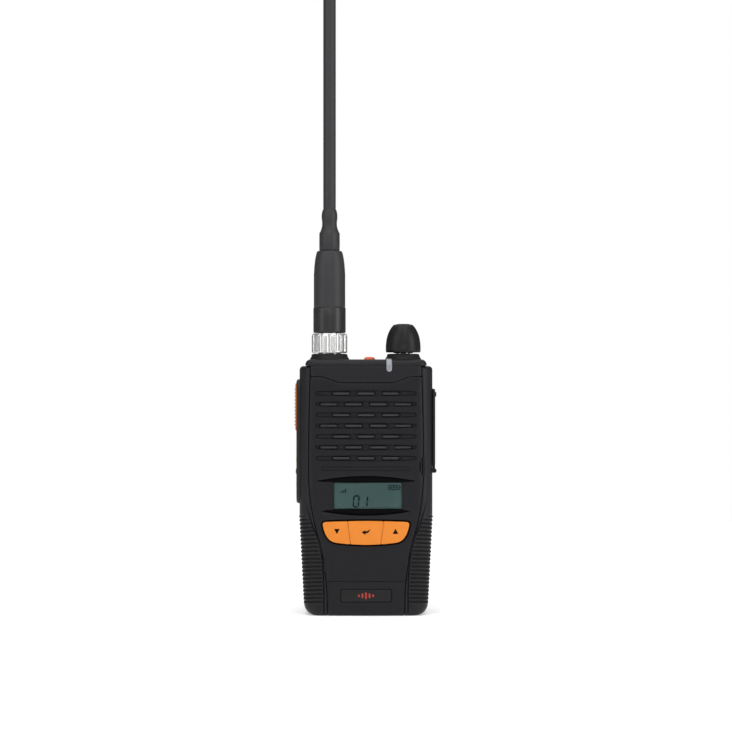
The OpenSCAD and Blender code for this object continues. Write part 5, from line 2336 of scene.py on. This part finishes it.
@dataclass
class Battery:
    """The battery's case and lid, and the latch at its top."""

    width: float = 51.0
    height: float = 90.0
    lid_front: float = 6.06
    seam: float = 8.3
    back: float = 18.5
    edge: float = 3.0

    def outline(self) -> Outline:
        """The battery's outline from the back."""
        return round_box(0, self.height / 2, self.width, self.height, 4.2, 8)

    def case(self) -> Piece:
        """The case: a rounded box with a sunk blank field, grip ridges and the latch's recess.

        Returns:
            The piece.
        """
        deep = self.back - self.seam
        sunk = Patch(round_box(0, 29.5, 34.0, 34.0, 2.0, 6),
                     ((0.0, 0.0), (0.12, 0.05), (0.25, 0.3), (0.4, 0.35)))
        rings = ((0.3, deep - 0.03), (0.08, deep - 0.1), (0.0, deep - 0.3), *soft_edge(self.edge, steps=7))
        shell = Shell().slab(Patch(self.outline(), rings, (sunk,)), facing_back(self.back))
        recess = round_box(0, 86.4, 18.4, 20.0, 1.2, 4)
        piece = pocketed(shell.piece("battery_case_shell", BACK), recess, 5.0, facing_back(20.2))
        for turn, x in ((0.0, -25.3), (math.pi, 25.3)):
            places = [(x, 11.2 + 1.9 * i, z) for z in (66.0, 78.0) for i in range(3)]
            piece = ridged(piece, (0.45, 1.1, 8.0), BACK, places, turn)
        return piece

    def lid(self) -> Piece:
        """The lid, which faces the radio and has a way through to each contact.

        Returns:
            The piece.
        """
        deep = self.seam - self.lid_front
        holes = tuple(
            Patch(disc(x, 20.0, 1.3, 16), ((0.0, 0.0), (0.0, deep)), through=True)
            for x in (-6.0, 0.0, 6.0))
        rings = ((0.35, deep), (0.1, deep - 0.1), (0.0, deep - 0.35), (0.0, 0.35), (0.1, 0.1), (0.35, 0.0))
        whole = Patch(self.outline(), rings, holes)
        return Shell().slab(whole, facing_back(self.seam)).piece("battery_lid_plate", BACK)

    def latch(self) -> Piece:
        """The latch: a ridged slide with a flange and a tongue that enters the shoulder.

        Returns:
            The piece.
        """
        shell = Shell()
        slide = round_box(0, 84.75, 14.0, 9.5, 1.2, 5)
        shell.slab(Patch(slide, ((0.0, 3.4), *soft_edge(0.5))), facing_back(18.8))
        flange = round_box(0, 84.75, 17.4, 9.3, 0.6, 3)
        shell.slab(Patch(flange, ((0.0, 0.8), (0.0, 0.15), (0.15, 0.0))), facing_back(16.25))
        tongue = round_box(0, 90.9, 6.0, 3.5, 0.4, 3)
        shell.slab(Patch(tongue, ((0.0, 1.0), (0.0, 0.15), (0.15, 0.0))), facing_back(16.4))
        piece = shell.piece("battery_latch_slide", CLIP)
        return ridged(piece, (0.5, 11.0, 0.9), CLIP, [(0.0, 18.65, 81.4 + 1.65 * i) for i in range(5)])


@dataclass
class BeltClip:
    """The sprung clip on the battery."""

    half: float = 9.4
    inner_y: float = 24.7
    outer_y: float = 26.5
    pivot: Point = (23.0, 64.0)

    def build(self) -> Piece:
        """Makes the clip.

        Returns:
            The piece.
        """
        inner, outer = self.inner_y, self.outer_y
        tip = bend((19.5, 9.8), (inner - 1.0, 8.5), (outer - 0.9, 8.6), 8)
        profile = [
            *tip, (outer - 0.2, 9.2), (outer, 10.2), (outer, 74.0), (outer - 0.2, 75.0), (outer - 0.9, 75.6),
            (inner + 0.3, 75.6), (inner, 75.2),
            *curve((inner, 18.0), ((inner - 0.5, 13.2), (19.4, 11.2), 10)), (19.35, 10.4)]
        rings = soft_ends(2 * self.half, 0.55)
        shell = Shell()
        shell.slab(Patch(shape(profile), rings), facing_right(self.half))
        y, z = self.pivot
        eye = Patch(disc(y, z, 1.06, 16), ((0.0, 0.0), (0.0, 3.1)), through=True)
        lug = [*arc(y, z, 2.1, 100, 260, 10), (inner + 0.5, z - 2.1), (inner + 0.5, z + 2.1)]
        for x in (-2.8, 5.9):
            shell.slab(Patch(shape(lug), ((0.0, 3.1), (0.0, 0.0)), (eye,)), facing_right(x))
        piece = shell.piece("belt_clip_blade", CLIP)
        return ridged(piece, (0.45, 13.0, 1.0), CLIP,
                      [(0.0, outer - 0.15, 66.4 + 1.7 * i) for i in range(5)])


# ---- What the CAD model already shapes ----

KEPT = {
    RUBBER: ("housing_gasket", "key_mat"),
    STEEL: ("housing_screws", "speaker_magnet", "rf_shield", "microphone", "volume_control", "latch_spring",
            "clip_screws", "clip_spring"),
    BLACK_STEEL: ("speaker_frame", "clip_bracket"),
    CONE: ("speaker_cone",),
    BOARD: ("keypad_board", "main_board", "battery_board"),
    NICKEL: ("antenna_socket", "panel_nuts", "volume_shaft", "clip_pin", "antenna_plug"),
    BACK: ("alarm_switch", "side_switches"),
    BEZEL: ("large_jack", "small_jack"),
    GOLD: ("radio_contacts",),
    SLEEVE: ("battery_cells",),
    COPPER: ("loading_coil",),
}


def dress_kept() -> None:
    """Gives every CAD node that stays in sight its finish."""
    for finish, names in KEPT.items():
        for node in (frame["nodes"][name] for name in names):
            if not node.material_slots:
                node.data.materials.append(finish.material())
            for slot in node.material_slots:
                slot.material = finish.material()


# ---- The studio ----


@dataclass
class Studio:
    """The pale floor and backdrop, the soft lights and the camera."""

    distance: float = 1.0
    aim_z: float = 0.1052
    view_width: float = 0.3074
    sensor_mm: float = 36.0
    floor_radius: float = 0.62

    def floor(self) -> None:
        """The round pale floor, which is level with the radio's base."""
        count = 96
        mesh = bpy.data.meshes.new("studio_floor")
        spots = [math.tau * i / count for i in range(count)]
        mesh.from_pydata(
            [(self.floor_radius * math.cos(a), self.floor_radius * math.sin(a), 0.0) for a in spots], [],
            [tuple(range(count))])
        finish = Finish("studio_paper", (0.9, 0.9, 0.9), 0.95, specular=0.0, grain_mm=20, mottle=0.0)
        paper = finish.material()
        bsdf = next(n for n in paper.node_tree.nodes if n.type == "BSDF_PRINCIPLED")
        bsdf.inputs["Emission Color"].default_value = (1.0, 1.0, 1.0, 1.0)
        bsdf.inputs["Emission Strength"].default_value = 0.3
        mesh.materials.append(paper)
        shown("studio_floor", mesh)

    def light(self, name: str, place: Sequence[float], size: Sequence[float], power: float) -> None:
        """A soft rectangular light that faces the radio.

        Args:
            name: Its name.
            place: Where it stands, in metres.
            size: Its width and height, in metres.
            power: Its power in watts.
        """
        lamp = bpy.data.lights.new(name, "AREA")
        lamp.shape = "RECTANGLE"
        lamp.size, lamp.size_y = size
        lamp.energy = power
        made = bpy.data.objects.new(name, lamp)
        made.location = place
        made.rotation_euler = (Vector((0, 0, self.aim_z)) - Vector(place)).to_track_quat("-Z", "Y").to_euler()
        bpy.context.scene.collection.objects.link(made)

    def build(self) -> None:
        """Sets up the whole studio."""
        scene = bpy.context.scene
        world = bpy.data.worlds.new("studio_air")
        world.use_nodes = True
        tree = Tree(world.node_tree)
        air = tree.add("ShaderNodeBackground", Color=(1.0, 1.0, 1.0, 1.0), Strength=0.18)
        wall = tree.add("ShaderNodeBackground", Color=(1.0, 1.0, 1.0, 1.0), Strength=1.0)
        seen = tree.add("ShaderNodeLightPath").outputs["Is Camera Ray"]
        both = tree.add("ShaderNodeMixShader", i0=seen, i1=air.outputs[0], i2=wall.outputs[0])
        tree.add("ShaderNodeOutputWorld", Surface=both.outputs[0])
        scene.world = world
        scene.view_settings.view_transform = "Standard"
        self.floor()
        self.light("top_box", (0.0, -0.35, 1.4), (1.4, 1.0), 12.0)
        self.light("near_top", (-0.12, -0.32, 0.34), (0.25, 0.2), 0.3)
        self.light("left_strip", (-1.1, -0.75, 0.5), (0.35, 1.2), 5.6)
        self.light("right_strip", (1.1, -0.6, 0.4), (0.3, 1.2), 9.0)
        self.light("front_fill", (0.25, -1.9, 0.75), (1.0, 0.6), 5.2)
        self.light("back_wash", (0.0, 1.0, 1.3), (1.6, 0.8), 7.0)
        lens = bpy.data.cameras.new("camera")
        lens.sensor_width = self.sensor_mm
        lens.lens = self.sensor_mm * self.distance / self.view_width
        lens.clip_start, lens.clip_end = 0.01, 100.0
        camera = bpy.data.objects.new("camera", lens)
        camera.location = (0.0, BODY.front * MM - self.distance, self.aim_z)
        camera.rotation_euler = (math.pi / 2, 0.0, 0.0)
        scene.collection.objects.link(camera)
        scene.camera = camera


# ---- The whole radio ----


def build_front() -> None:
    """Makes the front mouldings, the display, the keys and the grille."""
    panel = FrontPanel()
    claim(panel.build(), "radio", "housing", "front_housing")
    claim(TopCap().build(), "radio", "housing", "top_cap")
    claim(Grip(-1).build(), "radio", "grip", "left_grip")
    claim(JackSide().fitted(Grip(1).build()), "radio", "grip", "right_grip")
    display = Display(panel)
    claim(display.window(), "radio", "gloss_black", "display_window")
    claim(display.pane(), "radio", "clear_lens")
    claim(display.lcd(), "radio", "display", "lcd_panel")
    for name, key in FrontKeys().build().items():
        claim(key, name, "key_orange", name)
    claim(Badge().build(), "radio", "gloss_black", "badge_plate")
    claim(Grille().build(), "radio", "mesh", "speaker_mesh")


def build_top() -> None:
    """Makes the controls on the top and the antenna."""
    top = TopControls()
    claim(top.knob(), "volume", "knob", "volume_knob")
    antenna_ring = top.collar("antenna_collar_ring", ANTENNA_AXIS, 8.2, 7.6)
    claim(antenna_ring, "radio", "soft_rubber", "antenna_collar")
    claim(top.collar("knob_collar_ring", KNOB_AXIS, 7.5, 6.85), "radio", "soft_rubber", "knob_collar")
    claim(top.alarm(), "alarm", "alarm_orange", "alarm_button")
    claim(top.light(), "radio", "light_pipe", "led_lens")
    antenna = Antenna()
    claim(antenna.nut(), "nut", "nickel", "coupling_nut")
    claim(antenna.sleeve(), "antenna", "antenna_rubber", "lower_sleeve")
    claim(antenna.foot(), "antenna", "antenna_rubber", "antenna_base")
    claim(antenna.boot(), "antenna", "antenna_rubber", "antenna_boot")
    claim(antenna.whip(), "antenna", "antenna_rubber", "whip")


def build_sides() -> None:
    """Makes the side keys on the left, and the jacks' plate and cover on the right."""
    keys = SideKeys()
    claim(keys.bezel(), "radio", "soft_rubber", "side_bezel")
    claim(keys.transmit(), "ptt", "key_orange", "ptt_button")
    # The small side keys also wear the darker painted-shade copy of the key orange.
    claim(keys.button("upper_side_key_cap", 1, 0.1, SIDE_KEY_SHADED_ORANGE), "upper_side_key", "key_orange", "upper_side_key")
    claim(keys.button("lower_side_key_cap", 2, 0.1, SIDE_KEY_SHADED_ORANGE), "lower_side_key", "key_orange", "lower_side_key")
    jacks = JackSide()
    claim(jacks.cover(), "cover", "soft_rubber", "jack_cover")
    claim(jacks.plate(), "radio", "gloss_black", "jack_plate")


def build_back() -> None:
    """Makes the rear housing, the battery, its latch and the belt clip."""
    claim(RearHousing().build(), "radio", "back_shell", "rear_chassis")
    battery = Battery()
    claim(battery.case(), "battery", "back_shell", "battery_case")
    claim(battery.lid(), "battery", "back_shell", "battery_lid")
    claim(battery.latch(), "latch", "clip_plastic", "battery_latch")
    claim(BeltClip().build(), "clip", "clip_plastic", "belt_clip")


def main() -> None:
    """Builds the radio's looks round the CAD frame; each new piece's face count is logged."""
    logging.basicConfig(level=logging.INFO, format="%(name)s: %(message)s")
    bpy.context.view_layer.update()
    Studio().build()
    build_front()
    build_top()
    build_sides()
    build_back()
    dress_kept()


if __name__ == "__main__":
    main()
